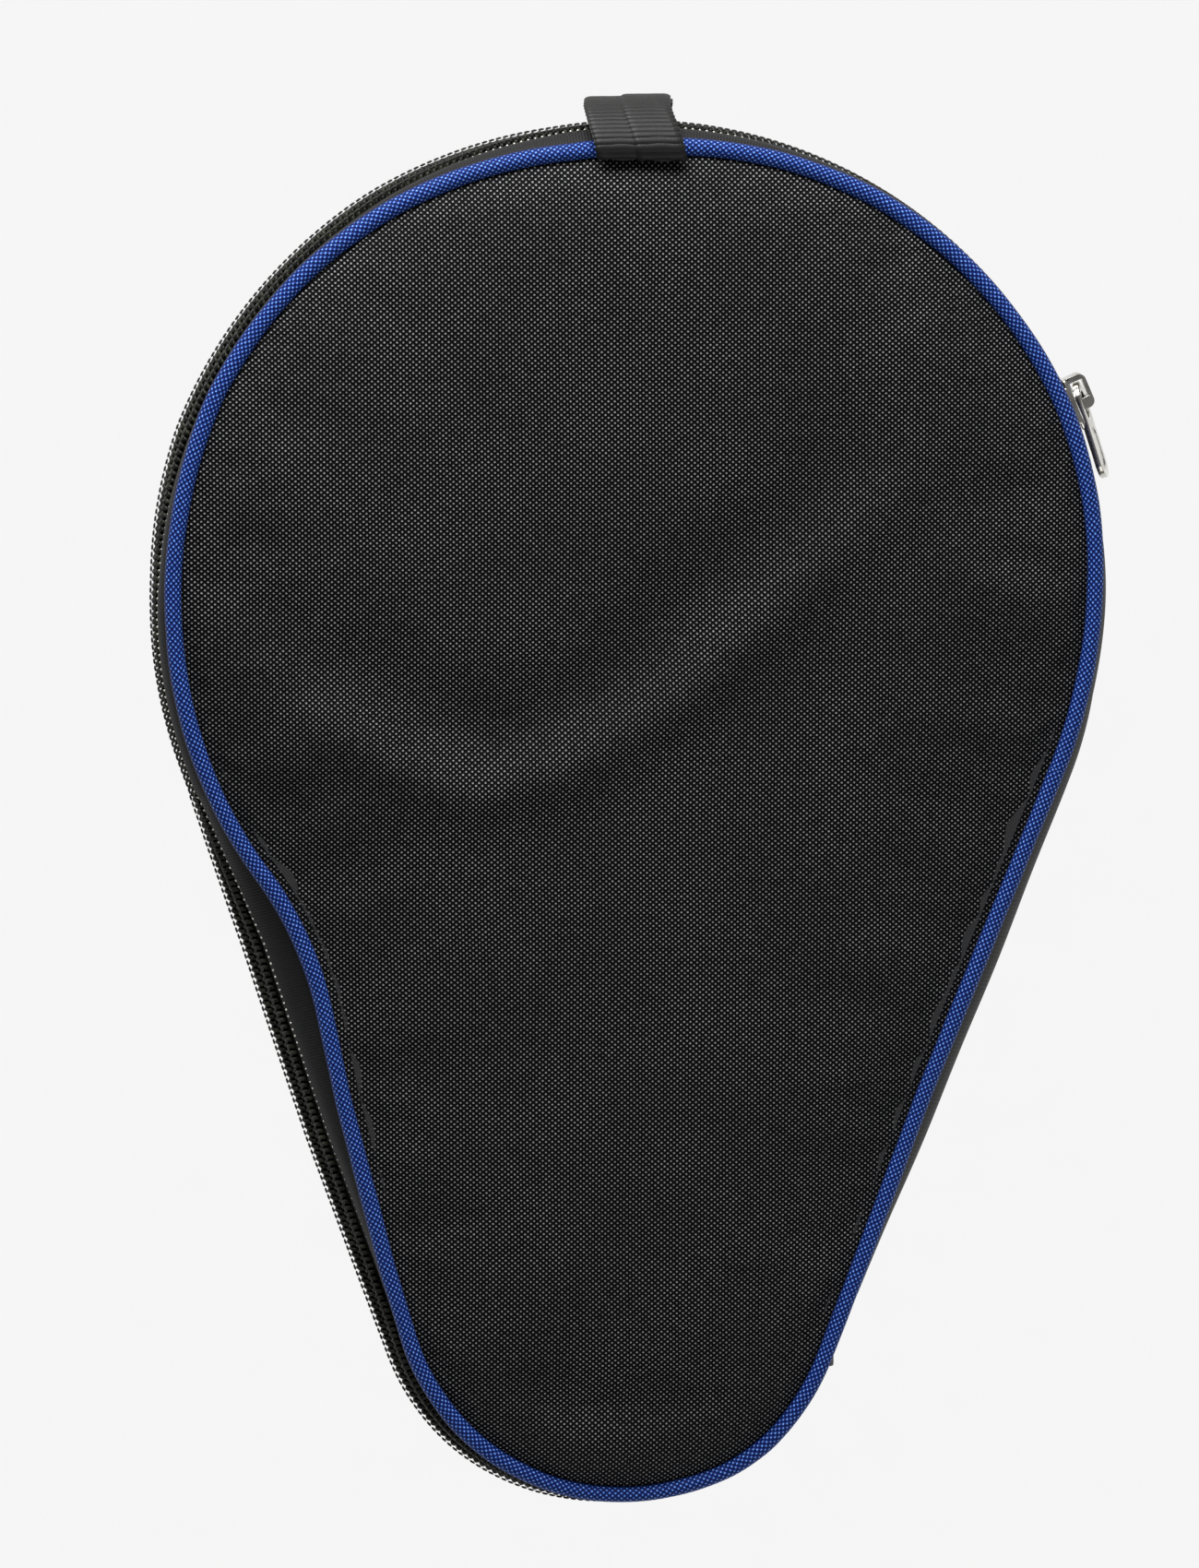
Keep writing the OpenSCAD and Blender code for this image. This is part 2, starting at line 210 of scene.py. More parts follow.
@dataclass(frozen=True)
class Plan:
    """The outline's sizes, the same as in the frame's source."""

    head_r: float = 94.5 * MM
    tip_r: float = 44.5 * MM
    tip_c: tuple[float, float] = (-3 * MM, -141.5 * MM)
    waist_r: float = 80 * MM
    flank_dir: float = 194
    back_seam: float = 3.6 * MM
    depth: float = 20.4 * MM
    bulge: float = 4.2 * MM
    coil_out: float = 3.0 * MM
    coil_start: float = 22.2
    coil_end: float = 331.9
    tape_start: float = 15
    tape_end: float = 335
    coil_edge: float = -3.1 * MM
    zip_slack: tuple[tuple[float, float], ...] = (
        (100, 0), (122, 0.9), (158, 0.9), (176, 0), (222, 0), (240, 1.3), (258, 1.2), (270, 0.7), (280, 0),
    )
    relaxed: tuple[tuple[float, float], ...] = (
        (0, 0.1), (12, 1.3), (24, 2.1), (48, 2.3), (60, 2.2), (72, 1.5), (86, 0.2), (98, 0.0),
        (108, 0.9), (120, 1.9), (134, 2.5), (152, 2.4), (168, 1.0), (182, 0.2), (204, -0.3),
        (216, -0.5), (228, 0.5), (240, 1.9), (250, 1.9), (256, 0.6), (262, 0.4), (268, 0.7),
        (272, 1.0), (276, 1.8), (278.5, 1.9), (281, 1.4), (288, 0.7), (300, -0.5), (348, -0.5),
    )

    @property
    def zip_z(self) -> float:
        """Height of the zip's middle."""
        return self.back_seam + self.depth / 2

    def seam_z(self, side: Side) -> float:
        """Height of a shell's seam line."""
        return self.zip_z + side.way * self.depth / 2

    @property
    def drop(self) -> float:
        """Distance between the head's centre and the handle end's."""
        return math.hypot(*self.tip_c)

    @property
    def run(self) -> float:
        """Length of the straight run between head and handle end."""
        return math.sqrt(self.drop**2 - (self.head_r - self.tip_r) ** 2)

    def tangents(self) -> tuple[float, float]:
        """Directions that the hinge flank and the zip's straight run face."""
        middle = math.degrees(math.atan2(self.tip_c[1], self.tip_c[0]))
        spread = math.degrees(math.acos((self.head_r - self.tip_r) / self.drop))
        return middle + spread, middle - spread + 360

    def waist(self) -> tuple[np.ndarray, float]:
        """Centre of the hollow below the head, and the direction where it meets the head."""
        normal, onward = ray(self.flank_dir), ray(self.flank_dir + 90)
        reach = float(np.dot(self.tip_c, normal)) + self.tip_r
        rise = math.sqrt((self.head_r + self.waist_r) ** 2 - (reach + self.waist_r) ** 2)
        centre = (reach + self.waist_r) * normal + rise * onward
        return centre, math.degrees(math.atan2(centre[1], centre[0])) + 360

    def seam_route(self, grow: float = 0.0) -> Route:
        """The closed seam line, moved outwards by grow."""
        hinge, _ = self.tangents()
        centre, meets = self.waist()
        waist = Arc(tuple(centre), self.waist_r - grow, meets - 180, self.flank_dir - 180, True)
        return Route(
            [
                Arc((0, 0), self.head_r + grow, hinge, meets),
                waist,
                Arc(self.tip_c, self.tip_r + grow, self.flank_dir, 360 + hinge),
            ],
            closed=True,
        )

    def zip_route(self, start: float, end: float) -> Route:
        """The middle line of the zip's coil, from a direction at the head to one at the tip."""
        _, flank = self.tangents()
        grow = self.coil_out
        return Route(
            [
                Arc((0, 0), self.head_r + grow, start, flank),
                Arc(self.tip_c, self.tip_r + grow, flank, end),
            ]
        )

    def zip_lean(self, route: Route, along: np.ndarray) -> np.ndarray:
        """How far the zip's face leans upwards, in radians.

        On the open flank the side wall has slack, so the zip turns its face up there.

        Args:
            route: The zip's route.
            along: Distances along the route.

        Returns:
            The lean at each distance.
        """
        rows = route.at(along)
        turn = np.degrees(np.unwrap(np.arctan2(rows[:, 3], rows[:, 2]))) % 360
        _, flank = self.tangents()
        on_head = np.hypot(rows[:, 0], rows[:, 1]) < self.head_r + self.coil_out + 0.2 * MM
        down = -(rows[:, :2] @ ray(flank - 90))
        head = np.interp(turn, [98, 125, 158, 180, 199.5], [0, 15, 18, 3, 3])
        run = np.interp(down, [0, 40 * MM, 110 * MM, self.run], [3, 34, 35, 31])
        tip = np.interp(turn, [199.5, 228, 258, 290], [31, 30, 18, 6])
        past = (down > self.run - 0.1 * MM) & ~on_head
        lean = np.where(on_head & (turn < flank + 0.1), head, np.where(past, tip, run))
        return np.radians(lean)

    def zip_place(
        self, route: Route, along: np.ndarray, out: np.ndarray, over: np.ndarray
    ) -> np.ndarray:
        """Points of the zip, leaned with its face.

        Args:
            route: The zip's route.
            along: Distances along the route.
            out: Distances outwards from the coil's middle line.
            over: Heights over the zip's middle, before leaning.

        Returns:
            Rows of x, y, z. Beyond the coil's lower edge the tape bends back under it.
        """
        lean = self.zip_lean(route, along)
        rows = route.at(along)
        angle = np.degrees(np.arctan2(rows[:, 1], rows[:, 0])) % 360
        slack = np.interp(angle, *np.array(self.zip_slack).T)
        core = np.maximum(over, self.coil_edge)
        under = over - core
        leaned_out = out * np.cos(lean) - core * np.sin(lean) + under * np.sin(0.7 * lean)
        leaned_up = out * np.sin(lean) + core * np.cos(lean) + under * np.cos(0.7 * lean)
        return route.place(along, leaned_out + slack * MM, self.zip_z + leaned_up)

    def zip_wrap(self, route: Route, piece: Piece) -> None:
        """Lays a straight piece on the leaning zip: its x runs along, y outwards, z up."""
        flat = points_of(piece)
        move_points(piece, self.zip_place(route, flat[:, 0], flat[:, 1], flat[:, 2] - self.zip_z))

    def settle(self, piece: Piece, side: Side) -> None:
        """Relaxes the front's outline from its exact arcs, as sewn cloth does.

        Args:
            piece: A piece of the shell. What lies at the zip's own height is left as it is.
            side: The shell; the back keeps its arcs.
        """
        if side is Side.BACK:
            return
        points = points_of(piece)
        near = self.seam_route().nearest(points[:, :2])
        inset = -((points[:, :2] - near[:, :2]) * near[:, 2:]).sum(axis=1)
        around = np.degrees(np.arctan2(near[:, 1], near[:, 0])) % 360
        turns, shifts = np.array(self.relaxed).T
        shift = np.interp(around, turns, shifts, period=360) * MM
        inner = 0.5 + 0.5 * np.cos(math.pi * np.clip(inset / (38 * MM), 0, 1))
        level = np.clip((points[:, 2] - self.zip_z - 4 * MM) / (4 * MM), 0, 1)
        points[:, :2] += near[:, 2:] * (shift * inner * level)[:, None]
        move_points(piece, points)

    def hinge_route(self, gap: float = 0.12) -> Route:
        """The seam line along the hinge side, from the handle end up to the slider's side."""
        hinge, _ = self.tangents()
        return Route(
            [
                Arc(self.tip_c, self.tip_r, self.tape_end + gap, 360 + hinge),
                Arc((0, 0), self.head_r, hinge, self.tape_start - gap),
            ]
        )

    def seam_gap(self, route: Route, along: np.ndarray) -> np.ndarray:
        """How far the seam line lies inside the zip's own line.

        Args:
            route: The zip's route.
            along: Distances along the route.

        Returns:
            The gap at each distance, zero where the two run together.
        """
        rows = route.at(along)
        foot = rows[:, :2] - rows[:, 2:] * self.coil_out
        seam = self.seam_route()
        facing = (seam.nearest(foot)[:, 2:] * rows[:, 2:]).sum(axis=1)
        return np.maximum(-seam.inset(foot) / facing, 0)


PLAN = Plan()


# ---- The work bench --------------------------------------------------------------------


def points_of(piece: Piece) -> np.ndarray:
    """A piece's vertices as rows of x, y, z."""
    flat = np.empty(len(piece.data.vertices) * 3, np.float32)
    piece.data.vertices.foreach_get("co", flat)
    return flat.reshape(-1, 3).astype(float)


def move_points(piece: Piece, points: np.ndarray) -> None:
    """Puts a piece's vertices at new places."""
    piece.data.vertices.foreach_set("co", points.astype(np.float32).ravel())
    piece.data.update()


def begin(name: str, add: Callable[..., Any], **settings: Any) -> Piece:
    """Adds a primitive with nothing else selected.

    Args:
        name: The new piece's name.
        add: The operator that adds it.
        **settings: The operator's settings.

    Returns:
        The new piece without a UV map, its place and turn applied to its mesh.
    """
    bpy.ops.object.select_all(action="DESELECT")
    add(**settings)
    piece = bpy.context.object
    piece.name = name
    piece.data.name = name
    while piece.data.uv_layers:
        piece.data.uv_layers.remove(piece.data.uv_layers[0])
    bpy.ops.object.transform_apply(location=True, rotation=True, scale=True)
    return piece


def pick(piece: Piece) -> None:
    """Selects one piece and makes it active."""
    bpy.ops.object.select_all(action="DESELECT")
    piece.select_set(True)
    bpy.context.view_layer.objects.active = piece


@contextmanager
def editing(piece: Piece, everything: bool = False) -> Iterator[None]:
    """Edit mode on one piece, with everything or nothing selected at its start."""
    pick(piece)
    bpy.ops.object.mode_set(mode="EDIT")
    bpy.ops.mesh.select_mode(type="FACE")
    bpy.ops.mesh.select_all(action="SELECT" if everything else "DESELECT")
    yield
    bpy.ops.object.mode_set(mode="OBJECT")


def choose_faces(piece: Piece, test: Callable[[Any], bool]) -> None:
    """Selects just the faces that pass a test, in edit mode."""
    bpy.ops.mesh.select_mode(type="FACE")
    bpy.ops.mesh.select_all(action="DESELECT")
    mesh = bmesh.from_edit_mesh(piece.data)
    for face in mesh.faces:
        face.select_set(test(face))
    bmesh.update_edit_mesh(piece.data)


def choose_edges(piece: Piece, test: Callable[[Any], bool]) -> None:
    """Selects just the edges that pass a test, in edit mode."""
    bpy.ops.mesh.select_mode(type="EDGE")
    bpy.ops.mesh.select_all(action="DESELECT")
    mesh = bmesh.from_edit_mesh(piece.data)
    for edge in mesh.edges:
        edge.select_set(test(edge))
    mesh.select_flush_mode()
    bmesh.update_edit_mesh(piece.data)


def modify(piece: Piece, kind: str, **settings: Any) -> None:
    """Adds a modifier to a piece and applies it at once.

    Args:
        piece: The piece.
        kind: The modifier's type.
        **settings: The modifier's settings.
    """
    pick(piece)
    modifier = piece.modifiers.new(kind.title(), kind)
    for name, value in settings.items():
        setattr(modifier, name, value)
    bpy.ops.object.modifier_apply(modifier=modifier.name)


def smooth(piece: Piece, angle: float = 40) -> None:
    """Shades a piece smooth, but for edges sharper than an angle."""
    pick(piece)
    bpy.ops.object.shade_smooth_by_angle(angle=math.radians(angle))


def mark_flat(piece: Piece, flat: np.ndarray) -> None:
    """Gives a piece its flat size as a UV map.

    Args:
        piece: The piece.
        flat: Each vertex's place on the flat cloth, in metres; the map holds millimetres.
    """
    layer = piece.data.uv_layers.get("flat") or piece.data.uv_layers.new(name="flat")
    corner = np.empty(len(piece.data.loops), np.int32)
    piece.data.loops.foreach_get("vertex_index", corner)
    layer.data.foreach_set("uv", (flat[corner] / MM).astype(np.float32).ravel())


def strip(name: str, cells: tuple[int, int], size: tuple[float, float], place: Place) -> Piece:
    """Makes a strip of cloth from a grid.

    Args:
        name: The piece's name.
        cells: Faces along the strip and across it.
        size: Flat length and width.
        place: Gives the points for shares along and across.

    Returns:
        The laid strip, with its flat size as its UV map.
    """
    grid = bpy.ops.mesh.primitive_grid_add
    piece = begin(name, grid, x_subdivisions=cells[0], y_subdivisions=cells[1], size=1)
    share = points_of(piece)[:, :2] + 0.5
    mark_flat(piece, share * np.array(size))
    move_points(piece, place(share[:, 0], share[:, 1]))
    return piece


def close_seams(piece: Piece) -> None:
    """Merges the ends of a piece that runs right round, and turns its faces outwards."""
    with editing(piece, everything=True):
        bpy.ops.mesh.remove_doubles(threshold=2e-6)
        bpy.ops.mesh.select_all(action="SELECT")
        bpy.ops.mesh.normals_make_consistent(inside=False)


def dress(piece: Piece, finish: "Finish") -> None:
    """Gives a piece or a carried-over node one finish."""
    material = finish.material()
    for index in range(max(1, len(piece.material_slots))):
        if len(piece.material_slots) <= index:
            piece.data.materials.append(material)
        else:
            piece.material_slots[index].material = material


def hand_over(piece: Piece, finish: "Finish", body: Body, *nodes: str) -> Piece:
    """Dresses a finished piece and says what it belongs to.

    Args:
        piece: The piece.
        finish: Its finish.
        body: The body that it rides on.
        *nodes: The nodes that it stands for, if any.

    Returns:
        The piece.
    """
    dress(piece, finish)
    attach(piece, body.value)
    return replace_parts(piece, *nodes) if nodes else piece


# ---- Finishes --------------------------------------------------------------------------


def colour(code: str) -> tuple[float, float, float, float]:
    """Linear colour of an sRGB hex code."""
    parts = [int(code[k : k + 2], 16) / 255 for k in (1, 3, 5)]
    linear = [p / 12.92 if p <= 0.04045 else ((p + 0.055) / 1.055) ** 2.4 for p in parts]
    return (*linear, 1.0)


class Tree:
    """The node tree of one material."""

    def __init__(self, name: str) -> None:
        """Starts an empty material."""
        self.made = bpy.data.materials.new(name)
        self.made.use_nodes = True
        self.made.node_tree.nodes.clear()

    def add(self, kind: str, inputs: dict[Any, Any] | None = None, **settings: Any) -> Any:
        """Adds a node.

        Args:
            kind: The node's type, without its prefix.
            inputs: For each input's name or place, a value, an output or a node.
            **settings: The node's own settings.

        Returns:
            The node.
        """
        node = self.made.node_tree.nodes.new("ShaderNode" + kind)
        for name, value in settings.items():
            setattr(node, name, value)
        for key, value in (inputs or {}).items():
            if isinstance(value, bpy.types.Node):
                value = value.outputs[0]
            if isinstance(value, bpy.types.NodeSocket):
                self.made.node_tree.links.new(value, node.inputs[key])
            else:
                node.inputs[key].default_value = value
        return node

    def across(self, on_cloth: bool) -> tuple[Any, Any, Any]:
        """Coordinates in millimetres.

        Args:
            on_cloth: Whether they follow the cloth's own flat map, or lie in the frame.

        Returns:
            The x, y and z outputs; z means nothing on the cloth's own map.
        """
        if on_cloth:
            source = self.add("UVMap", uv_map="flat")
            scaled = source.outputs[0]
        else:
            source = self.add("TexCoord")
            inputs = {0: source.outputs["Object"], "Scale": 1 / MM}
            scaled = self.add("VectorMath", inputs, operation="SCALE")
        parts = self.add("SeparateXYZ", {0: scaled})
        return parts.outputs[0], parts.outputs[1], parts.outputs[2]

    def wave(self, value: Any, pitch: float, shift: Any = 0.0) -> Any:
        """A cosine of a coordinate, from -1 to 1, with its pitch in millimetres."""
        angle = self.add("Math", {0: value, 1: math.tau / pitch, 2: shift}, operation="MULTIPLY_ADD")
        return self.add("Math", {0: angle}, operation="COSINE")

    def combine(self, operation: str, first: Any, second: Any, third: Any = 0.0) -> Any:
        """One sum of two or three values."""
        return self.add("Math", {0: first, 1: second, 2: third}, operation=operation)

    def range(self, value: Any, low: float, high: float, start: float = 0.0, end: float = 1.0) -> Any:
        """A value's share of the way from low to high, eased, as start to end."""
        limits = {0: value, 1: low, 2: high, 3: start, 4: end}
        return self.add("MapRange", limits, interpolation_type="SMOOTHSTEP")

    def noise(self, grain: float, detail: float = 2.0, vector: Any = None) -> Any:
        """Noise of a grain size in millimetres, from the frame's coordinates or a vector."""
        if vector is None:
            vector = self.add("TexCoord").outputs["Object"]
            scale = 1 / (grain * MM)
        else:
            scale = 1 / grain
        return self.add("TexNoise", {"Vector": vector, "Scale": scale, "Detail": detail})

    def mix(self, share: Any, first: Any, second: Any) -> Any:
        """A colour between two others."""
        node = self.add("Mix", {0: share, 6: first, 7: second}, data_type="RGBA")
        return node.outputs[2]

    def close(
        self, base: Any, roughness: Any, height: Any, depth: float, **sockets: Any
    ) -> bpy.types.Material:
        """Adds the relief, the surface and the output.

        Args:
            base: Base colour.
            roughness: Roughness.
            height: Relief, from 0 to 1.
            depth: The relief's depth in millimetres.
            **sockets: Further values of the surface, set on its own sockets.

        Returns:
            The finished material.
        """
        relief = self.add("Bump", {"Height": height, "Distance": depth * MM, "Strength": 1.0})
        inputs = {"Base Color": base, "Roughness": roughness, "Normal": relief}
        inputs.update({name.replace("_", " "): value for name, value in sockets.items()})
        surface = self.add("BsdfPrincipled", inputs)
        self.add("OutputMaterial", {"Surface": surface})
        return self.made


@dataclass(frozen=True)
class Finish(ABC):
    """A real surface finish: a name, the record's slot and its node tree."""

    name: str
    slot: str

    def material(self) -> bpy.types.Material:
        """The finish's material, made once."""
        return bpy.data.materials.get(self.name) or self.build(Tree(self.name))

    @abstractmethod
    def build(self, tree: Tree) -> bpy.types.Material:
        """Fills the tree and returns its material."""


@dataclass(frozen=True)
class OxfordCloth(Finish):
    """Coated nylon oxford, woven in a staggered grain: painted highlights on the thread crowns over black
    gaps.
    """

    ground: str = "#020202"
    thread: str = "#030303"
    # crown: painted highlight colour of the thread crowns; the nylon itself is black.
    crown: str = "#a3a3a5"
    across_mm: float = 1.30
    along_mm: float = 1.12
    relief_mm: float = 0.16

    def build(self, tree: Tree) -> bpy.types.Material:
        """Thread crowns on a staggered grid, painted pale as painted highlights, uneven from thread to
        thread.
        """
        x, y, _ = tree.across(on_cloth=False)
        drift = tree.noise(38, 1.0)
        sway = tree.range(drift, 0.2, 0.8, -1.1, 1.1)
        column = tree.wave(x, self.across_mm, sway)
        row = tree.wave(y, self.along_mm, sway)
        crossing = tree.combine("MULTIPLY", column, row)
        uneven = tree.noise(1.1, 2.0)
        lifted = tree.combine("MULTIPLY_ADD", uneven, 0.55, crossing)
        shade = tree.mix(tree.range(lifted, -0.75, 0.35), colour(self.ground), colour(self.thread))
        patch = tree.range(tree.noise(24, 3.0), 0.3, 0.75, 0.72, 1.0)
        # Painted highlight: the crowns are mixed towards the pale crown colour, weaker in slow patches.
        bright = tree.combine("MULTIPLY", tree.range(lifted, 0.62, 1.3), patch)
        tone = tree.mix(bright, shade, colour(self.crown))
        rough = tree.range(lifted, -0.4, 1.0, 0.72, 0.5)
        height = tree.range(lifted, -0.8, 1.3)
        return tree.close(tone, rough, height, self.relief_mm, Specular_IOR_Level=0.1)


@dataclass(frozen=True)
class PipingCloth(Finish):
    """Royal blue polyester binding over a cord: thread crowns painted pale blue as painted highlights, gaps
    painted navy as painted shade.
    """

    # gap: painted shade in the weave's gaps; thread: the tape's own blue; crown: painted highlight on the
    # crowns; edge: painted shade on the tube's sides.
    gap: str = "#030c2e"
    thread: str = "#082a80"
    crown: str = "#86baff"
    edge: str = "#0a1a52"
    along_mm: float = 1.24
    round_mm: float = 11.31
    threads: int = 10

    def build(self, tree: Tree) -> bpy.types.Material:
        """Crowns on a staggered grid that follows the tube, with painted shade darkening it towards its two
        sides and away from its outward face.
        """
        along, around, _ = tree.across(on_cloth=True)
        rows = tree.wave(along, self.along_mm)
        columns = tree.wave(around, self.round_mm / self.threads)
        crossing = tree.combine("MULTIPLY", rows, columns)
        source = tree.add("UVMap", uv_map="flat")
        uneven = tree.noise(0.9, 2.0, source.outputs[0])
        lifted = tree.combine("MULTIPLY_ADD", uneven, 0.7, crossing)
        # Painted shade in the gaps and painted highlights on the crowns, from the weave's relief.
        shade = tree.mix(tree.range(lifted, -0.6, 0.5), colour(self.gap), colour(self.thread))
        tone = tree.mix(tree.range(lifted, 0.7, 1.4), shade, colour(self.crown))
        # Painted shade: the tube darkens away from its outward face, towards its sides.
        turn = tree.wave(around, self.round_mm, -math.pi / 2)
        tone = tree.mix(tree.range(turn, 0.62, 0.15), tone, colour(self.edge))
        height = tree.range(lifted, -0.7, 1.4)
        return tree.close(tone, 0.55, height, 0.16, Sheen_Weight=0.02, Specular_IOR_Level=0.15)


@dataclass(frozen=True)
class RibbedTape(Finish):
    """Woven polyester tape: fine ribs across its length and a smooth pair of edges."""

    dark: str = "#060607"
    # light: painted highlight colour of the rib tops; dark: the tape's own near-black.
    light: str = "#1a1a1d"
    rib_mm: float = 0.62
    yarn_mm: float = 0.45
    depth_mm: float = 0.1
    roughness: float = 0.6

    def build(self, tree: Tree) -> bpy.types.Material:
        """Ribs with fine yarns on them; their tops are painted lighter as painted highlights, fading in slow
        patches.
        """
        along, over, _ = tree.across(on_cloth=True)
        source = tree.add("UVMap", uv_map="flat")
        fuzz = tree.noise(0.8, 3.0, source.outputs[0])
        bend = tree.combine("MULTIPLY", fuzz, 1.1)
        ribs = tree.wave(along, self.rib_mm, bend)
        yarns = tree.wave(over, self.yarn_mm)
        lifted = tree.combine("MULTIPLY_ADD", yarns, 0.3, ribs)
        # Painted highlight: rib tops are painted towards the light colour, weakened in slow patches.
        highlight_patches = tree.noise(9.0, 2.0, source.outputs[0])
        shade = tree.combine("MULTIPLY", tree.range(lifted, -0.6, 1.3), tree.range(highlight_patches, 0.2, 0.8, 0.6, 1.0))
        tone = tree.mix(shade, colour(self.dark), colour(self.light))
        height = tree.range(lifted, -1.3, 1.3)
        shine = {"Specular_IOR_Level": 0.3, "Sheen_Weight": 0.03}
        return tree.close(tone, self.roughness, height, self.depth_mm, **shine)


@dataclass(frozen=True)
class PlainCloth(Finish):
    """Thin plain-woven cloth or binding seen inside the case."""

    dark: str = "#0a0a0b"
    light: str = "#222225"
    thread_mm: float = 0.7
    roughness: float = 0.7

    def build(self, tree: Tree) -> bpy.types.Material:
        """A square plain weave with slightly uneven threads."""
        x, y, z = tree.across(on_cloth=False)
        steep = tree.combine("ADD", y, z)
        crossing = tree.combine("MULTIPLY", tree.wave(x, self.thread_mm), tree.wave(steep, self.thread_mm))
        uneven = tree.noise(2.2, 2.0)
        lifted = tree.combine("MULTIPLY_ADD", uneven, 0.6, crossing)
        tone = tree.mix(tree.range(lifted, -0.7, 1.3), colour(self.dark), colour(self.light))
        height = tree.range(lifted, -0.8, 1.4)
        return tree.close(tone, self.roughness, height, 0.08, Sheen_Weight=0.1)


@dataclass(frozen=True)
class Thread(Finish):
    """Spun sewing thread or filler cord: a soft twist and a fluffy, matt surface."""

    dark: str = "#8f8d84"
    light: str = "#e6e4da"
    twist_mm: float = 0.6

    def build(self, tree: Tree) -> bpy.types.Material:
        """Slanting strands, broken up by loose fibres."""
        x, y, z = tree.across(on_cloth=False)
        slant = tree.combine("ADD", tree.combine("ADD", x, y), z)
        fibres = tree.noise(0.5, 3.0)
        strands = tree.wave(slant, self.twist_mm, tree.combine("MULTIPLY", fibres, 1.6))
        tone = tree.mix(tree.range(strands, -1, 1), colour(self.dark), colour(self.light))
        height = tree.range(strands, -1, 1)
        return tree.close(tone, 0.8, height, 0.05, Sheen_Weight=0.2)


@dataclass(frozen=True)
class MouldedNylon(Finish):
    """Drawn nylon monofilament, heat-set into a coil: smooth, waxy, slightly see-through."""

    dark: str = "#0b0c08"
    light: str = "#33352a"

    def build(self, tree: Tree) -> bpy.types.Material:
        """Olive black, lighter in streaks along the filament."""
        streak = tree.noise(2.6, 3.0)
        grain = tree.noise(0.3, 2.0)
        tone = tree.mix(tree.range(streak, 0.35, 0.75), colour(self.dark), colour(self.light))
        rough = tree.range(grain, 0.3, 0.7, 0.42, 0.58)
        return tree.close(tone, rough, grain, 0.015, IOR=1.53, Specular_IOR_Level=0.2)


@dataclass(frozen=True)
class BrightNickel(Finish):
    """Bright nickel plate over die-cast zinc: mirror bright, softened by tiny pits."""

    face: str = "#dddbd5"
    shadow: str = "#b3afa6"

    def build(self, tree: Tree) -> bpy.types.Material:
        """Plate with hairline handling marks and a faint warm cloud."""
        cloud = tree.noise(3.5, 2.0)
        pits = tree.noise(0.35, 4.0)
        tone = tree.mix(tree.range(cloud, 0.35, 0.75), colour(self.face), colour(self.shadow))
        rough = tree.range(pits, 0.35, 0.7, 0.1, 0.24)
        return tree.close(tone, rough, pits, 0.02, Metallic=1.0)


@dataclass(frozen=True)
class CellFoam(Finish):
    """Soft closed-cell foam: pale grey, matt, with fine round cells."""

    dark: str = "#74777c"
    light: str = "#9ea1a6"

    def build(self, tree: Tree) -> bpy.types.Material:
        """Small cells with thin walls."""
        source = tree.add("TexCoord")
        cells = tree.add("TexVoronoi", {"Vector": source.outputs["Object"], "Scale": 1 / (0.9 * MM)})
        tone = tree.mix(tree.range(cells, 0.1, 0.6), colour(self.dark), colour(self.light))
        return tree.close(tone, 0.85, cells, 0.12)


# The cover's crown colour is a painted highlight on black nylon.
COVER = OxfordCloth("nylon oxford cover cloth", "cover_cloth")
# The piping's crown colour is a painted highlight; its gap and edge colours are painted shade.
PIPING = PipingCloth("woven polyester piping", "piping_cloth")
# The ribbed tapes' light colours are painted highlights on their rib tops.
ZIP_TAPE = RibbedTape("woven zip tape", "zip_tape")
HINGE_TAPE = RibbedTape(
    "ribbed hinge tape", "hinge_tape", dark="#0b0b0a", light="#262620", rib_mm=0.9, depth_mm=0.14
)
WEBBING = RibbedTape(
    "grosgrain webbing",
    "webbing",
    dark="#020202",
    light="#191918",
    rib_mm=1.05,
    yarn_mm=0.36,
    depth_mm=0.1,
    roughness=0.5,
)
LINING = PlainCloth("plain woven lining", "lining_cloth")
BINDING = PlainCloth("woven binding tape", "binding_tape", dark="#0b0b0c", light="#2a2a2d")
STITCH = Thread("spun polyester stitching", "thread", dark="#a3a095", light="#f0ede2")
# The dark coil stitching is also painted onto the back row of pale stitches, as painted shade.
COIL_STITCH = Thread("dark coil stitching", "thread", dark="#0b0c09", light="#2a2b23")
SEAM_THREAD = Thread("lilac grey seam thread", "thread", dark="#2b2946", light="#6a6690")
FILLER = Thread("twisted filler cord", "cord", dark="#9c988c", light="#dad6c8", twist_mm=1.4)
NYLON = MouldedNylon("nylon monofilament coil", "zip_coil")
NICKEL = BrightNickel("bright nickel plate", "nickel")
FOAM = CellFoam("closed-cell foam", "foam")


# ---- Padded panels ---------------------------------------------------------------------


@dataclass(frozen=True)
class Crease:
    """A soft ridge, or a valley if its height is negative, along a line of points in plan."""

    line: tuple[tuple[float, float], ...]
    width: float
    height: float

    def lift(self, plan: np.ndarray) -> np.ndarray:
        """How far the crease lifts each point; it fades out towards its ends."""
        line = np.array(self.line) * MM
        steps = np.linalg.norm(np.diff(line, axis=0), axis=1)
        starts = np.append(0, np.cumsum(steps))
        best = np.full(len(plan), np.inf)
        where = np.zeros(len(plan))
        for index, step in enumerate(steps):
            way = (line[index + 1] - line[index]) / step
            share = np.clip((plan - line[index]) @ way, 0, step)
            apart = np.linalg.norm(plan - line[index] - share[:, None] * way, axis=1)
            nearer = apart < best
            best[nearer] = apart[nearer]
            where[nearer] = starts[index] + share[nearer]
        fade = np.sin(math.pi * np.clip(where / starts[-1], 0, 1)) ** 0.6
        return self.height * MM * np.exp(-((best / (self.width * MM)) ** 2)) * fade


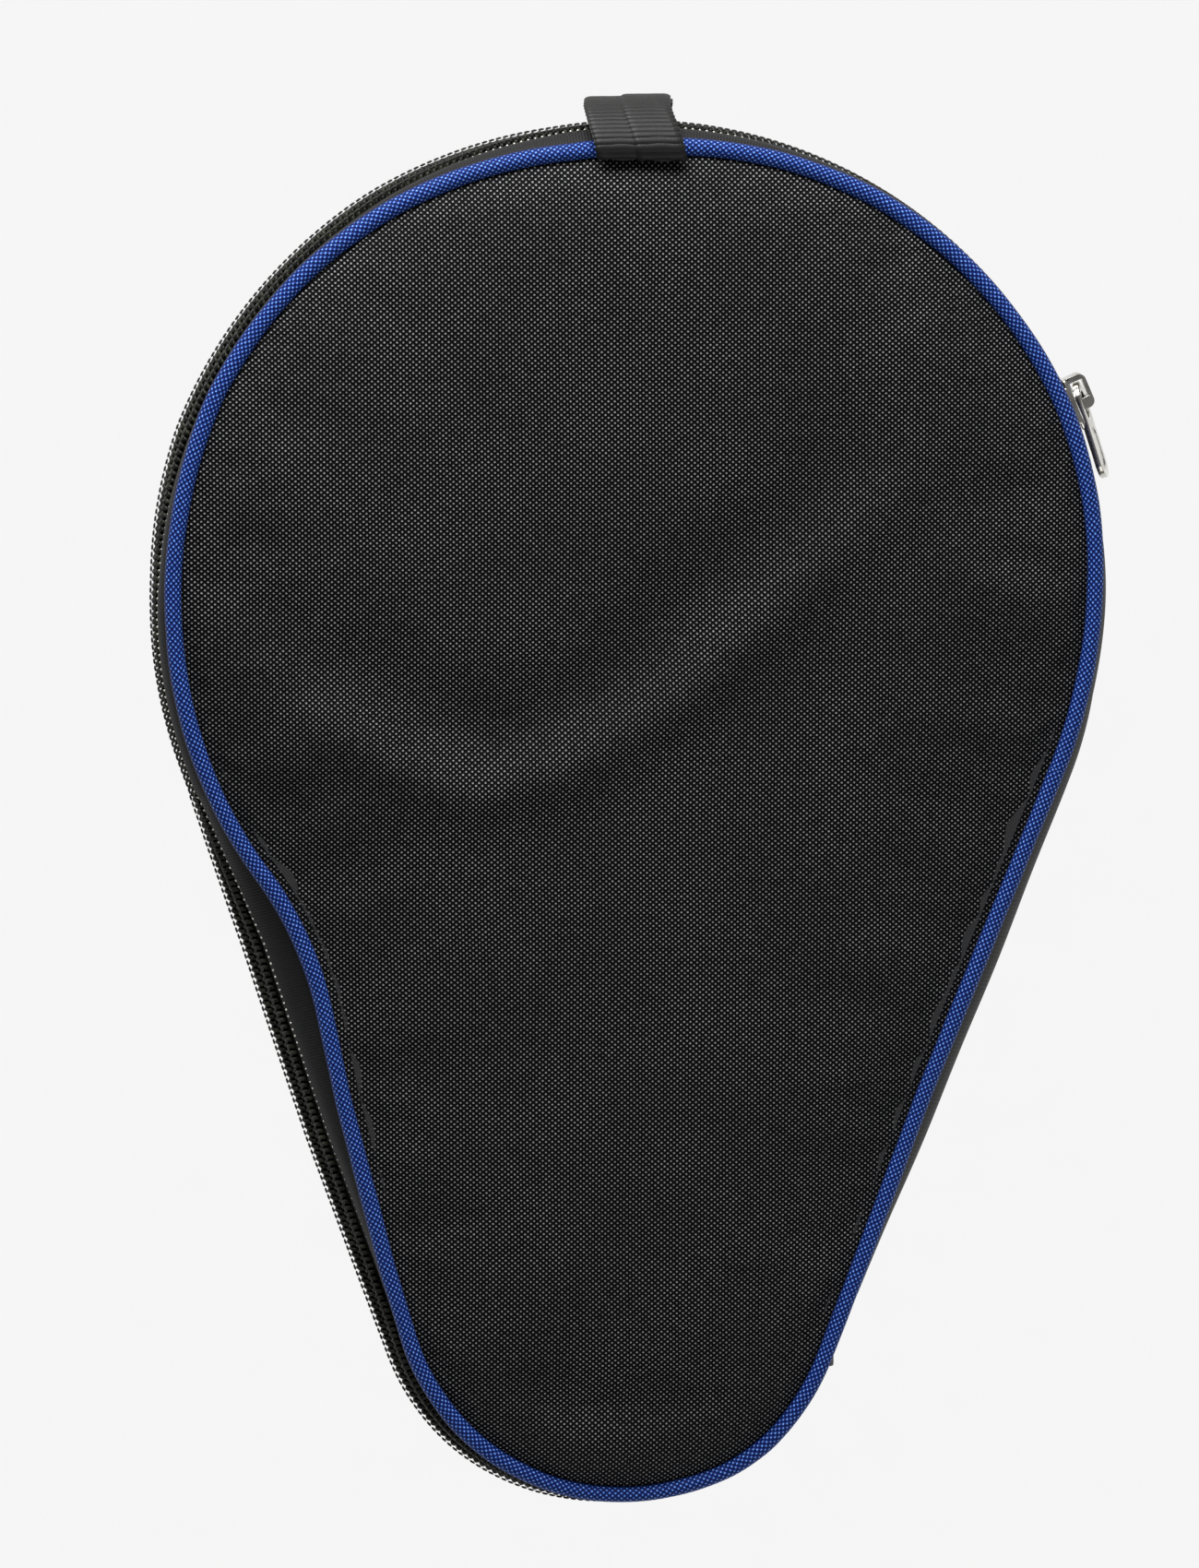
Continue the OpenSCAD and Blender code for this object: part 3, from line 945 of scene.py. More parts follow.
FRONT_CREASES = (
    Crease(((-92, 2), (-70, -18), (-50, -31), (-34, -37), (-16, -32), (8, -18), (34, 6), (62, 32)), 6.5, 2.2),
    Crease(((-88, 12), (-62, -8), (-40, -22), (-28, -24), (-8, -16), (20, 10), (50, 38)), 10, -1.9),
    Crease(((-84, -12), (-72, -30), (-62, -48)), 7, 0.8),
    Crease(((-90, -20), (-76, -38), (-66, -56)), 6, -0.7),
    Crease(((60, 10), (74, 4), (90, 0)), 5, 0.9),
    Crease(((64, -6), (78, -12), (90, -10)), 5, -0.8),
    Crease(((56, 60), (62, 46), (60, 30)), 8, 0.7),
    Crease(((56, -60), (50, -84), (44, -104)), 8, 0.6),
    Crease(((-30, -172), (-14, -178), (6, -178)), 6, 0.7),
    Crease(((-20, -160), (0, -166), (18, -164)), 7, -0.6),
)


@dataclass
class PaddedPanel:
    """One padded face of the case: cover, foam and lining, all held in the seam."""

    side: Side
    rise: float = 4.2 * MM
    puff: float = 2.4 * MM
    cover_in: float = 1.65 * MM
    cover_t: float = 0.8 * MM
    border: float = 14 * MM
    lining_in: float = 3.4 * MM
    lining_t: float = 0.4 * MM
    foam_in: float = 10 * MM
    clear: float = 0.9 * MM
    foam_up: float = 1.0 * MM
    pitch: float = 3.4 * MM
    creases: tuple[Crease, ...] = ()
    seam: Route = field(init=False)
    outside: Piece = field(init=False)

    def __post_init__(self) -> None:
        """Takes the seam line that the layers are cut to."""
        self.seam = PLAN.seam_route()

    def profile(self, inset: np.ndarray, first: float, low: float, high: float) -> np.ndarray:
        """Height of a layer over the seam line, rising over the rounded border."""
        share = np.clip((inset - first) / (self.border - first), 0, 1)
        return low + (high - low) * np.sin(share * math.pi / 2) ** 0.8

    def cut(self, name: str, insets: Sequence[float], pitch: float) -> tuple[Piece, np.ndarray]:
        """Cuts a flat sheet to the seam line, with rings of points along its border.

        Args:
            name: The sheet's name.
            insets: Distances of the rings inside the seam line, the sheet's edge first.
            pitch: Distance between points.

        Returns:
            The flat sheet, facing up, and how far each point lies inside the seam line.
        """
        rings = [self.ring(inset, pitch) for inset in insets]
        low, high = rings[0].min(axis=0), rings[0].max(axis=0)
        rows = np.arange(low[1], high[1], pitch * math.sqrt(0.75))
        inner = [
            (x, y)
            for index, y in enumerate(rows)
            for x in np.arange(low[0] + pitch / 2 * (index % 2), high[0], pitch)
        ]
        inner = np.array(inner)
        inner = inner[self.seam.inset(inner) > insets[-1] + 0.6 * pitch]
        plan = np.vstack([*rings, inner])
        edge = list(range(len(rings[0])))
        made = delaunay_2d_cdt([Vector(p) for p in plan], [], [edge], 1, 1e-7)
        corners = [(v.x, v.y, 0) for v in made[0]]
        mesh = bpy.data.meshes.new(name)
        mesh.from_pydata(corners, [], made[2])
        mesh.update()
        sheet = bpy.data.objects.new(name, mesh)
        bpy.context.scene.collection.objects.link(sheet)
        if mesh.polygons[0].normal.z < 0:
            mesh.flip_normals()
        return sheet, self.seam.inset(np.array(corners)[:, :2])

    def ring(self, inset: float, pitch: float) -> np.ndarray:
        """Evenly spaced points at one distance inside the seam line."""
        route = PLAN.seam_route(-inset)
        count = round(route.length / pitch)
        along = np.linspace(0, route.length, count, endpoint=False)
        return route.at(along)[:, :2]

    def set_height(self, piece: Piece, over_seam: np.ndarray) -> None:
        """Puts each point at a height over the shell's seam line, outwards from the case."""
        points = points_of(piece)
        points[:, 2] = PLAN.seam_z(self.side) + self.side.way * over_seam
        move_points(piece, points)

    def inflate(self, piece: Piece, held: np.ndarray) -> None:
        """Blows the cloth up with a cloth simulation and applies the result.

        Args:
            piece: The cover.
            held: Whether each point is held by the seam.
        """
        group = piece.vertex_groups.new(name="held")
        group.add([int(index) for index in np.flatnonzero(held)], 1.0, "REPLACE")
        pick(piece)
        cloth = piece.modifiers.new("Puff", "CLOTH")
        cloth.settings.quality = 4
        cloth.settings.mass = 0.25
        cloth.settings.tension_stiffness = 12
        cloth.settings.compression_stiffness = 12
        cloth.settings.shear_stiffness = 6
        cloth.settings.bending_stiffness = 0.6
        cloth.settings.shrink_min = -0.006
        cloth.settings.vertex_group_mass = "held"
        cloth.settings.use_pressure = True
        cloth.settings.uniform_pressure_force = 4
        cloth.settings.effector_weights.gravity = 0
        cloth.collision_settings.use_collision = False
        cloth.point_cache.frame_start = 1
        cloth.point_cache.frame_end = 20
        for number in range(1, 21):
            bpy.context.scene.frame_set(number)
        bpy.ops.object.modifier_apply(modifier=cloth.name)
        bpy.context.scene.frame_set(1)
        piece.vertex_groups.clear()

    def cover(self) -> Piece:
        """The cover: puffed, capped, creased, and given its thickness."""
        insets = [self.cover_in + step * MM for step in (0, 0.5, 1.4, 2.8, 4.8, 7.2, 9.8, 12.4)]
        piece, inset = self.cut(f"{self.side.label}_cover", insets, self.pitch)
        if self.side is Side.BACK:
            piece.data.flip_normals()
        start = self.profile(inset, self.cover_in, 0.2 * MM, self.rise)
        self.set_height(piece, start)
        before = points_of(piece)
        self.inflate(piece, inset < self.cover_in + 0.3 * MM)
        moved = points_of(piece) - before
        far = np.linalg.norm(moved, axis=1)
        share = self.puff * np.tanh(far / self.puff) / np.maximum(far, 1e-9)
        move_points(piece, before + moved * share[:, None])
        modify(piece, "SUBSURF", levels=1, render_levels=1)
        self.crease(piece)
        modify(piece, "SOLIDIFY", thickness=self.cover_t, offset=-1)
        PLAN.settle(piece, self.side)
        smooth(piece, 60)
        self.outside = piece
        return hand_over(piece, COVER, self.side.body, f"{self.side.label}_panel")

    def crease(self, piece: Piece) -> None:
        """Adds the creases and a slow unevenness, and keeps the back on the ground."""
        points = points_of(piece)
        inset = self.seam.inset(points[:, :2])
        calm = np.clip((inset - 2.2 * MM) / (9 * MM), 0, 1)
        lift = sum((crease.lift(points[:, :2]) for crease in self.creases), np.zeros(len(points)))
        x, y = points[:, 0] / MM, points[:, 1] / MM
        swell = np.sin(x / 17 + 1.3 * np.sin(y / 29)) * np.sin(y / 23 + 0.8 * np.sin(x / 31))
        lift = lift + 0.22 * MM * swell
        edge = 0.16 * MM * np.sin(np.arctan2(y + 40, x) * 46 + 2 * np.sin(y / 9)) * np.exp(-inset / (5 * MM))
        points[:, 2] += self.side.way * (lift * calm + edge * np.clip(calm * 3, 0, 1))
        if self.side is Side.BACK:
            points[:, 2] = np.maximum(points[:, 2], 0)
        move_points(piece, points)

    def tuck(self, piece: Piece) -> None:
        """Lowers a layer's points to stay clear of the finished cover."""
        bpy.context.view_layer.update()
        seam, way = PLAN.seam_z(self.side), self.side.way
        points = points_of(piece)
        for index, (x, y, z) in enumerate(points):
            hit, place, _, _ = self.outside.ray_cast((x, y, seam - way * 2 * MM), (0, 0, way))
            under = way * (place.z - seam) - self.clear if hit else way * (z - seam)
            points[index, 2] = seam + way * max(min(way * (z - seam), under), self.foam_up + 0.02 * MM)
        move_points(piece, points)

    def foam(self) -> Piece:
        """The foam pad between cover and lining, extruded down from its crowned top."""
        insets = [self.foam_in + step * MM for step in (0, 2, 4.5)]
        piece, inset = self.cut(f"{self.side.label}_foam", insets, 5 * MM)
        if self.side is Side.BACK:
            piece.data.flip_normals()
        under = self.profile(inset, self.cover_in, 0.2 * MM, self.rise) - self.cover_t - 0.9 * MM
        self.set_height(piece, np.maximum(under, 1.25 * MM))
        PLAN.settle(piece, self.side)
        self.tuck(piece)
        floor = PLAN.seam_z(self.side) + self.side.way * self.foam_up
        with editing(piece, everything=True):
            bpy.ops.mesh.extrude_region_move()
            bpy.ops.transform.resize(value=(1, 1, 0), center_override=(0, 0, floor))
            bpy.ops.mesh.select_all(action="SELECT")
            bpy.ops.mesh.normals_make_consistent(inside=False)
        smooth(piece, 50)
        return hand_over(piece, FOAM, self.side.body, f"{self.side.label}_foam_pad")

    def lining(self) -> Piece:
        """The lining, stretched flat across the inside with a few slack ripples."""
        insets = [self.lining_in + step * MM for step in (0, 3, 7)]
        piece, inset = self.cut(f"{self.side.label}_lining_sheet", insets, 3.6 * MM)
        if self.side is Side.FRONT:
            piece.data.flip_normals()
        points = points_of(piece) / MM
        ripple = np.sin(points[:, 0] / 7 + 2 * np.sin(points[:, 1] / 21)) * np.sin(points[:, 1] / 16)
        calm = np.clip((inset - self.lining_in) / (8 * MM), 0, 1)
        self.set_height(piece, 0.9 * MM - 0.22 * MM * calm * (1 + ripple))
        modify(piece, "SUBSURF", levels=1, render_levels=1)
        modify(piece, "SOLIDIFY", thickness=self.lining_t, offset=1)
        PLAN.settle(piece, self.side)
        smooth(piece, 60)
        edge = self.ring(self.lining_in, 2 * MM)
        return hand_over(piece, LINING, self.side.body, f"{self.side.label}_lining")


# ---- The seam: piping, its cord and the bindings ----------------------------------------


@dataclass
class Piping:
    """The woven piping round one panel, with a line of stitching along its foot."""

    side: Side
    radius: float = 1.8 * MM
    around: int = 20
    step: float = 1.6 * MM
    core_r: float = 1.2 * MM
    stitch_pitch: float = 2.6 * MM
    seam: Route = field(init=False)

    def __post_init__(self) -> None:
        """Takes the seam line that the piping follows."""
        self.seam = PLAN.seam_route()

    def core(self) -> Piece:
        """The filler cord inside the front's tube, which follows its relaxed line."""

        def lay(along: np.ndarray, around: np.ndarray) -> np.ndarray:
            """Points of a thinner, even tube."""
            turn = around * math.tau
            rise = PLAN.seam_z(self.side) + self.core_r * np.sin(turn)
            return self.seam.place(along * self.seam.length, self.core_r * np.cos(turn), rise)

        cells = (round(self.seam.length / (2 * self.step)), 12)
        size = (self.seam.length, math.tau * self.core_r)
        piece = strip(f"{self.side.label}_filler_cord", cells, size, lay)
        close_seams(piece)
        PLAN.settle(piece, self.side)
        smooth(piece, 80)
        return hand_over(piece, FILLER, self.side.body, f"{self.side.label}_piping_core")

    def lay(self, along: np.ndarray, around: np.ndarray) -> np.ndarray:
        """Points of the tube; it swells and thins slightly as the tape is pulled."""
        turn = around * math.tau
        run = along * self.seam.length
        slow, quick = np.sin(run / (9 * MM)), np.sin(run / (2.7 * MM) + 2 * turn)
        radius = self.radius * (1 + 0.02 * slow + 0.012 * quick)
        rise = PLAN.seam_z(self.side) + radius * np.sin(turn)
        return self.seam.place(run, radius * np.cos(turn), rise)

    def tube(self) -> Piece:
        """The woven tube."""
        cells = (round(self.seam.length / self.step), self.around)
        size = (self.seam.length, math.tau * self.radius)
        piece = strip(f"{self.side.label}_piping_tube", cells, size, self.lay)
        if self.side is Side.BACK:
            flat = piece.data.uv_layers["flat"].data
            for corner in flat:
                corner.uv[1] = size[1] / MM - corner.uv[1]
        close_seams(piece)
        PLAN.settle(piece, self.side)
        smooth(piece, 80)
        return hand_over(piece, PIPING, self.side.body, f"{self.side.label}_piping")

    def stitching(self) -> Piece:
        """The seam's own stitches, half sunk where the tube meets the side wall."""
        out = 1.15 * MM
        height = PLAN.seam_z(self.side) - self.side.way * 1.62 * MM
        row = StitchRow(self.stitch_pitch, 2.0 * MM, 0.2 * MM)
        piece = row.make(f"{self.side.label}_seam_stitching", self.seam, out, height)
        PLAN.settle(piece, self.side)
        return hand_over(piece, SEAM_THREAD, self.side.body)


@dataclass(frozen=True)
class StitchRow:
    """A row of equal stitches: one is shaped, repeated along a straight line, then laid."""

    pitch: float
    length: float
    radius: float

    def make(self, name: str, route: Route, out: float, up: float, leans: bool = False) -> Piece:
        """Lays the row.

        Args:
            name: The piece's name.
            route: The route that it follows.
            out: Distance outwards from the route.
            up: Height.
            leans: Whether it lies on the zip and leans with it.

        Returns:
            The row of stitches.
        """
        sphere = bpy.ops.mesh.primitive_ico_sphere_add
        piece = begin(name, sphere, subdivisions=1, radius=self.radius)
        with editing(piece, everything=True):
            stretch = self.length / 2 / self.radius
            bpy.ops.transform.resize(value=(stretch, 1, 1))
            bpy.ops.transform.translate(value=(self.pitch / 2, out, up))
        count = max(1, int(route.length / self.pitch))
        modify(
            piece,
            "ARRAY",
            count=count,
            use_relative_offset=False,
            use_constant_offset=True,
            constant_offset_displace=(self.pitch, 0, 0),
        )
        if leans:
            PLAN.zip_wrap(route, piece)
        else:
            route.wrap(piece)
        smooth(piece, 180)
        return piece


# ---- The zip ---------------------------------------------------------------------------


@dataclass
class ZipTape:
    """The woven tape from the seam out to the coil, on one shell."""

    side: Side
    thickness: float = 0.3 * MM
    step: float = 1.8 * MM
    width: float = 12 * MM
    foot_out: float = -0.3 * MM
    foot_up: float = 8.7 * MM
    section: tuple[tuple[float, float], ...] = (
        (3.42, 4.9),
        (3.3, 4.45),
        (3.02, 4.1),
        (2.98, 3.5),
        (2.5, 3.25),
        (1.72, 3.0),
        (1.6, 2.2),
        (1.6, 0.85),
    )

    def tape(self) -> Piece:
        """The tape's strip, sloping in to the seam where the outline is hollow."""
        route = PLAN.zip_route(PLAN.tape_start, PLAN.tape_end)
        wall = np.linspace(0, 1, 6)[:-1]
        gap_at = np.linspace(0, route.length, 700)
        gaps = PLAN.seam_gap(route, gap_at)
        top_out, top_up = self.section[0]
        keys = [(None, share) for share in wall] + [(k, 1.0) for k in range(len(self.section))]
        way = self.side.way

        def lay(along: np.ndarray, over: np.ndarray) -> np.ndarray:
            """Points of the strip from its foot in the seam up to the coil."""
            run = along * route.length
            one = np.ones(len(run))
            gap = np.interp(run, gap_at, gaps)
            foot_up = PLAN.zip_z + way * self.foot_up * one
            foot = route.place(run, self.foot_out - gap - PLAN.coil_out, foot_up)
            top = PLAN.zip_place(route, run, one * (top_out * MM - PLAN.coil_out), way * top_up * MM * one)
            rows = route.at(run)
            index = np.rint(over * (len(keys) - 1)).astype(int)
            points = np.empty((len(run), 3))
            for place, (key, share) in enumerate(keys):
                here = index == place
                if key is None:
                    swell = math.sin(math.pi * share)
                    step = foot[here] + (top[here] - foot[here]) * (share + 0.1 * swell)
                    step[:, :2] += rows[here, 2:] * swell * 0.25 * MM
                    step[:, 2] += way * swell * 0.5 * MM
                    points[here] = step
                else:
                    out, up = self.section[key]
                    level = one[here] * (out * MM - PLAN.coil_out)
                    points[here] = PLAN.zip_place(route, run[here], level, way * up * MM * one[here])
            return points

        cells = (round(route.length / self.step), len(keys) - 1)
        piece = strip(f"{self.side.label}_zip_tape_cloth", cells, (route.length, self.width), lay)
        if self.side is Side.FRONT:
            with editing(piece, everything=True):
                bpy.ops.mesh.flip_normals()
        modify(piece, "SUBSURF", levels=1, render_levels=1)
        modify(piece, "SOLIDIFY", thickness=self.thickness, offset=0)
        PLAN.settle(piece, self.side)
        smooth(piece, 60)
        return hand_over(piece, ZIP_TAPE, self.side.body, f"{self.side.label}_zip_tape")


@dataclass
class ZipCoil:
    """One row of the nylon coil, sewn to its tape."""

    side: Side
    pitch: float = 1.46 * MM
    wire: float = 0.5 * MM
    half_height: float = 1.2 * MM
    half_width: float = 1.42 * MM
    reach: float = 1.38 * MM
    stitch_up: float = 5.0 * MM
    thread_up: float = 2.15 * MM

    def route(self) -> Route:
        """The coil's middle line."""
        return PLAN.zip_route(PLAN.coil_start, PLAN.coil_end)

    def coil(self) -> Piece:
        """The coil: a small ring wound round its axis, flattened and laid along the zip."""
        route = self.route()
        turns = int(route.length / self.pitch) - 1
        ring = bpy.ops.mesh.primitive_circle_add
        centre = (self.wire, self.half_height - self.wire, 0)
        name = f"{self.side.label}_coil_row"
        piece = begin(name, ring, vertices=5, radius=self.wire, location=centre)
        modify(
            piece,
            "SCREW",
            axis="X",
            screw_offset=self.pitch,
            iterations=turns,
            steps=8,
            render_steps=8,
            use_smooth_shade=True,
        )
        half = 0 if self.side is Side.FRONT else self.pitch / 2
        height = PLAN.zip_z + self.side.way * self.reach
        with editing(piece, everything=True):
            bpy.ops.mesh.normals_make_consistent(inside=False)
            bpy.ops.transform.resize(value=(1, 1, self.half_width / self.half_height))
            bpy.ops.transform.translate(value=(half, 0, height))
        PLAN.zip_wrap(route, piece)
        smooth(piece, 180)
        return hand_over(piece, NYLON, self.side.body, f"{self.side.label}_zip_coil")

    def stitching(self) -> Piece:
        """Pale stitches along the tape, just clear of the coil; the back row is painted dark, as painted
        shade.
        """
        route = PLAN.zip_route(PLAN.tape_start + 3.3, PLAN.coil_end)
        height = PLAN.zip_z + self.side.way * self.stitch_up
        row = StitchRow(1.46 * MM, 0.55 * MM, 0.24 * MM)
        out = 0.62 * MM if self.side is Side.FRONT else -0.6 * MM
        name = f"{self.side.label}_pale_stitches"
        piece = row.make(name, route, out, height, leans=True)
        # Painted shade: the back row's pale thread is given the dark coil thread's finish.
        finish = STITCH if self.side is Side.FRONT else COIL_STITCH
        return hand_over(piece, finish, self.side.body, f"{self.side.label}_coil_stitching")

    def binding(self) -> Piece:
        """The dark thread that sews the coil down, over the backs of its turns."""
        route = self.route()
        height = PLAN.zip_z + self.side.way * self.thread_up
        row = StitchRow(self.pitch, 1.42 * MM, 0.27 * MM)
        out = self.half_height - 0.02 * MM
        name = f"{self.side.label}_coil_thread"
        piece = row.make(name, route, out, height, leans=True)
        return hand_over(piece, COIL_STITCH, self.side.body)


@dataclass
class ZipStops:
    """The stamped stops that end the zip at both ends."""

    top_dir: float = 16.9
    bottom_dir: float = 333.5
    top_up: float = 2.3 * MM
    top_size: tuple[float, float, float] = (2.6 * MM, 2.2 * MM, 3.9 * MM)
    bottom_size: tuple[float, float, float] = (3.0 * MM, 2.2 * MM, 5.2 * MM)

    def clamp(self, name: str, size: tuple[float, float, float]) -> Piece:
        """One bent metal clamp: a block with a groove pressed across and soft corners."""
        piece = begin(name, bpy.ops.mesh.primitive_cube_add, size=1)
        with editing(piece, everything=True):
            bpy.ops.transform.resize(value=size)
            bpy.ops.mesh.subdivide(number_cuts=2)
            choose_faces(
                piece,
                lambda face: face.normal.x > 0.9 and face.calc_center_median().length < 0.6 * size[0],
            )
            bpy.ops.transform.translate(value=(-0.25 * MM, 0, 0))
        modify(piece, "BEVEL", width=0.22 * MM, segments=3, limit_method="ANGLE")
        smooth(piece)
        return piece

    def stop(
        self, name: str, node: str, body: Body, centre: tuple[float, float], radius: float, turn: float,
        up: float, size: tuple[float, float, float],
    ) -> Piece:
        """Makes one stop and sets it on the zip.

        Args:
            name: The piece's name.
            node: The node that it stands for.
            body: The body that it rides on.
            centre: Centre of the arc that it sits on.
            radius: Its distance from that centre.
            turn: Its direction from that centre.
            up: Its height.
            size: Its size outwards, along and up.

        Returns:
            The stop.
        """
        piece = self.clamp(name, size)
        place = Matrix.Translation((*centre, up)) @ Matrix.Rotation(math.radians(turn), 4, "Z")
        piece.data.transform(place @ Matrix.Translation((radius, 0, 0)))
        return hand_over(piece, NICKEL, body, node)

    def build(self) -> list[Piece]:
        """All three stops."""
        head = PLAN.head_r + PLAN.coil_out
        made = [
            self.stop(
                f"{side.label}_stop", f"{side.label}_top_stop", side.body, (0, 0), head, self.top_dir,
                PLAN.zip_z + side.way * self.top_up, self.top_size,
            )
            for side in Side
        ]
        foot = PLAN.tip_r + PLAN.coil_out
        made.append(
            self.stop(
                "bottom_stop", "zip_bottom_stop", Body.BACK, PLAN.tip_c, foot, self.bottom_dir,
                PLAN.zip_z, self.bottom_size,
            )
        )
        return made


# ---- The hinge side --------------------------------------------------------------------


@dataclass
class HingeStrip:
    """The ribbed strip that closes the side wall on the hinge side."""

    thickness: float = 0.9 * MM
    step: float = 1.6 * MM
    across: int = 18
    foot_up: float = 8.5 * MM
    flare: float = 1.3 * MM
    flare_l: float = 5 * MM
    slack: float = 1.3 * MM
    slack_l: float = 150 * MM
    fold: float = 6 * MM

    def build(self) -> Piece:
        """The strip, from one seam to the other, with its cut end standing proud."""
        route = PLAN.hinge_route()
        width = 19 * MM

        def lay(along: np.ndarray, over: np.ndarray) -> np.ndarray:
            """Points of the strip: fullest half way up the wall."""
            run = along * route.length
            crown = np.sin(math.pi * over) ** 0.75
            ripple = 0.12 * MM * np.sin(run / (6.5 * MM)) * crown
            end = np.clip(1 - run / self.flare_l, 0, 1) ** 2
            slack = self.slack * np.sin(math.pi * np.clip(run / self.slack_l, 0, 1)) ** 0.7 * crown
            swell = (PLAN.bulge + 0.2 * MM) * crown + ripple + slack
            out = -0.3 * MM + swell + self.flare * end * (0.4 + crown)
            up = PLAN.zip_z + (2 * over - 1) * self.foot_up
            return route.place(run, out, up)

        cells = (round(route.length / self.step), self.across)
        piece = strip("hinge_strip", cells, (route.length, width), lay)
        modify(piece, "SOLIDIFY", thickness=self.thickness, offset=-1)
        modify(piece, "BEVEL", width=0.2 * MM, segments=2, limit_method="ANGLE")
        smooth(piece, 50)
        dress(piece, HINGE_TAPE)
        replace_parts(piece, "back_hinge_strip", "front_hinge_strip")
        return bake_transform(piece)


# ---- Slider and pull -------------------------------------------------------------------


@dataclass
class Slider:
    """The nickel slider, parked on the zip, and its pull.

    Both are shaped at the origin: x outwards from the seam circle, y along the zip and z
    across it. Their own place is then set in their meshes.
    """

    park: float = 23.5
    length: float = 11 * MM
    width: float = 8.4 * MM
    rear: float = 0.8
    inner: float = 0.5 * MM
    outer: float = 4.6 * MM
    plate: float = 1.0 * MM
    flange: float = 0.9 * MM
    flange_t: float = 0.75 * MM
    crown_top: float = 9.5 * MM
    crown_w: float = 3.2 * MM
    crown_from: float = -2.1 * MM
    crown_to: float = 5.3 * MM
    crown_wall: float = 0.9 * MM
    crown_round: float = 1.5 * MM
    post_r: float = 1.4 * MM
    post_along: float = -3.7 * MM
    bar_out: float = 7.25 * MM
    bar_along: float = 2.2 * MM
    bar_r: float = 0.65 * MM
    lean: float = 5.5
    roll: float = 16
    pull_l: float = 19.4 * MM
    pull_w: float = 8 * MM
    pull_t: float = 1.3 * MM
    window_top: float = -0.5 * MM
    window_tip: float = -6.4 * MM
    window_w: float = 4.4 * MM
    recess_top: float = -8.4 * MM
    recess_w: float = 4.8 * MM
    recess_t: float = 0.3 * MM
    rim: float = 1.7 * MM

    def set_down(self, piece: Piece) -> None:
        """Moves a piece's mesh from the origin to the parked place."""
        turn = Matrix.Rotation(math.radians(self.park), 4, "Z")
        move = Matrix.Translation((0, 0, PLAN.zip_z))
        piece.data.transform(move @ turn @ Matrix.Translation((PLAN.head_r, 0, 0)))

    def half(self, name: str, low: float, inwards: int) -> Piece:
        """One plate of the slider with its two flanges.

        Args:
            name: The plate's name.
            low: Its lower face's distance from the seam circle.
            inwards: 1 if its flanges point outwards, -1 if inwards.

        Returns:
            The plate.
        """
        centre = (low + self.plate / 2, 0, 0)
        piece = begin(name, bpy.ops.mesh.primitive_cube_add, size=1, location=centre)
        inner_edge = self.width / 2 - self.flange_t
        with editing(piece, everything=True):
            bpy.ops.transform.resize(value=(self.plate, self.length, self.width), center_override=centre)
            for cut in (-0.36, -0.12, 0.12, 0.36):
                bpy.ops.mesh.select_all(action="SELECT")
                bpy.ops.mesh.bisect(plane_co=(0, cut * self.length, 0), plane_no=(0, 1, 0))
            for cut in (-inner_edge, inner_edge):
                bpy.ops.mesh.select_all(action="SELECT")
                bpy.ops.mesh.bisect(plane_co=(0, 0, cut), plane_no=(0, 0, 1))
            choose_faces(
                piece,
                lambda face: face.normal.x * inwards > 0.9
                and abs(face.calc_center_median().z) > inner_edge
                and abs(face.calc_center_median().y) < 0.37 * self.length,
            )
            bpy.ops.mesh.extrude_region_move(TRANSFORM_OT_translate={"value": (inwards * self.flange, 0, 0)})
        points = points_of(piece)
        share = np.clip((points[:, 1] / self.length + 0.1) / 0.6, 0, 1)
        points[:, 2] *= 1 - (1 - self.rear) * share * share * (3 - 2 * share)
        ends = np.clip((np.abs(points[:, 1]) / self.length - 0.36) / 0.14, 0, 1)
        points[:, 2] *= 1 - 0.16 * ends
        if inwards < 0:
            points[:, 0] -= 0.35 * MM * ends * (points[:, 0] > low + self.plate / 2)
        move_points(piece, points)
        return piece

    def crown(self) -> Piece:
        """The bridge over the slider: a block with its window cut through and corners rounded."""
        low = self.outer + self.plate - 0.1 * MM
        middle = (self.crown_from + self.crown_to) / 2
        centre = ((low + self.crown_top) / 2, middle, 0)
        size = (self.crown_top - low, self.crown_to - self.crown_from, self.crown_w)
        piece = begin("crown", bpy.ops.mesh.primitive_cube_add, size=1, location=centre)
        hole = (self.bar_out + 0.1 * MM, self.bar_along, 0)
        with editing(piece, everything=True):
            bpy.ops.transform.resize(value=size, center_override=centre)
            choose_faces(piece, lambda face: abs(face.normal.z) > 0.9)
            bpy.ops.mesh.inset(thickness=self.crown_wall, use_individual=True)
            bpy.ops.transform.resize(value=(1.25, 0.68, 1), center_override=centre)
            bpy.ops.transform.translate(value=(hole[0] - centre[0], hole[1] - centre[1], 0))
            bpy.ops.mesh.bridge_edge_loops()
            choose_edges(
                piece,
                lambda edge: abs((edge.verts[0].co - edge.verts[1].co).z) > 0.9 * self.crown_w
                and min(v.co.x for v in edge.verts) > self.crown_top - 0.1 * MM,
            )
            bpy.ops.mesh.bevel(offset=self.crown_round, segments=6)
            bpy.ops.mesh.select_all(action="SELECT")
            bpy.ops.mesh.normals_make_consistent(inside=False)
        return piece

    def post(self) -> Piece:
        """The wedge between the plates that parts the two rows."""
        depth = self.outer - self.inner - self.plate + 0.2 * MM
        centre = ((self.outer + self.inner + self.plate) / 2, self.post_along, 0)
        turned = (0, math.pi / 2, 0)
        piece = begin(
            "post", bpy.ops.mesh.primitive_cylinder_add, vertices=16, radius=self.post_r, depth=depth,
            location=centre, rotation=turned,
        )
        with editing(piece):
            choose_faces(
                piece,
                lambda face: abs(face.normal.x) < 0.5 and face.calc_center_median().y > centre[1],
            )
            bpy.ops.transform.resize(value=(1, 1, 0.62), center_override=centre)
        return piece

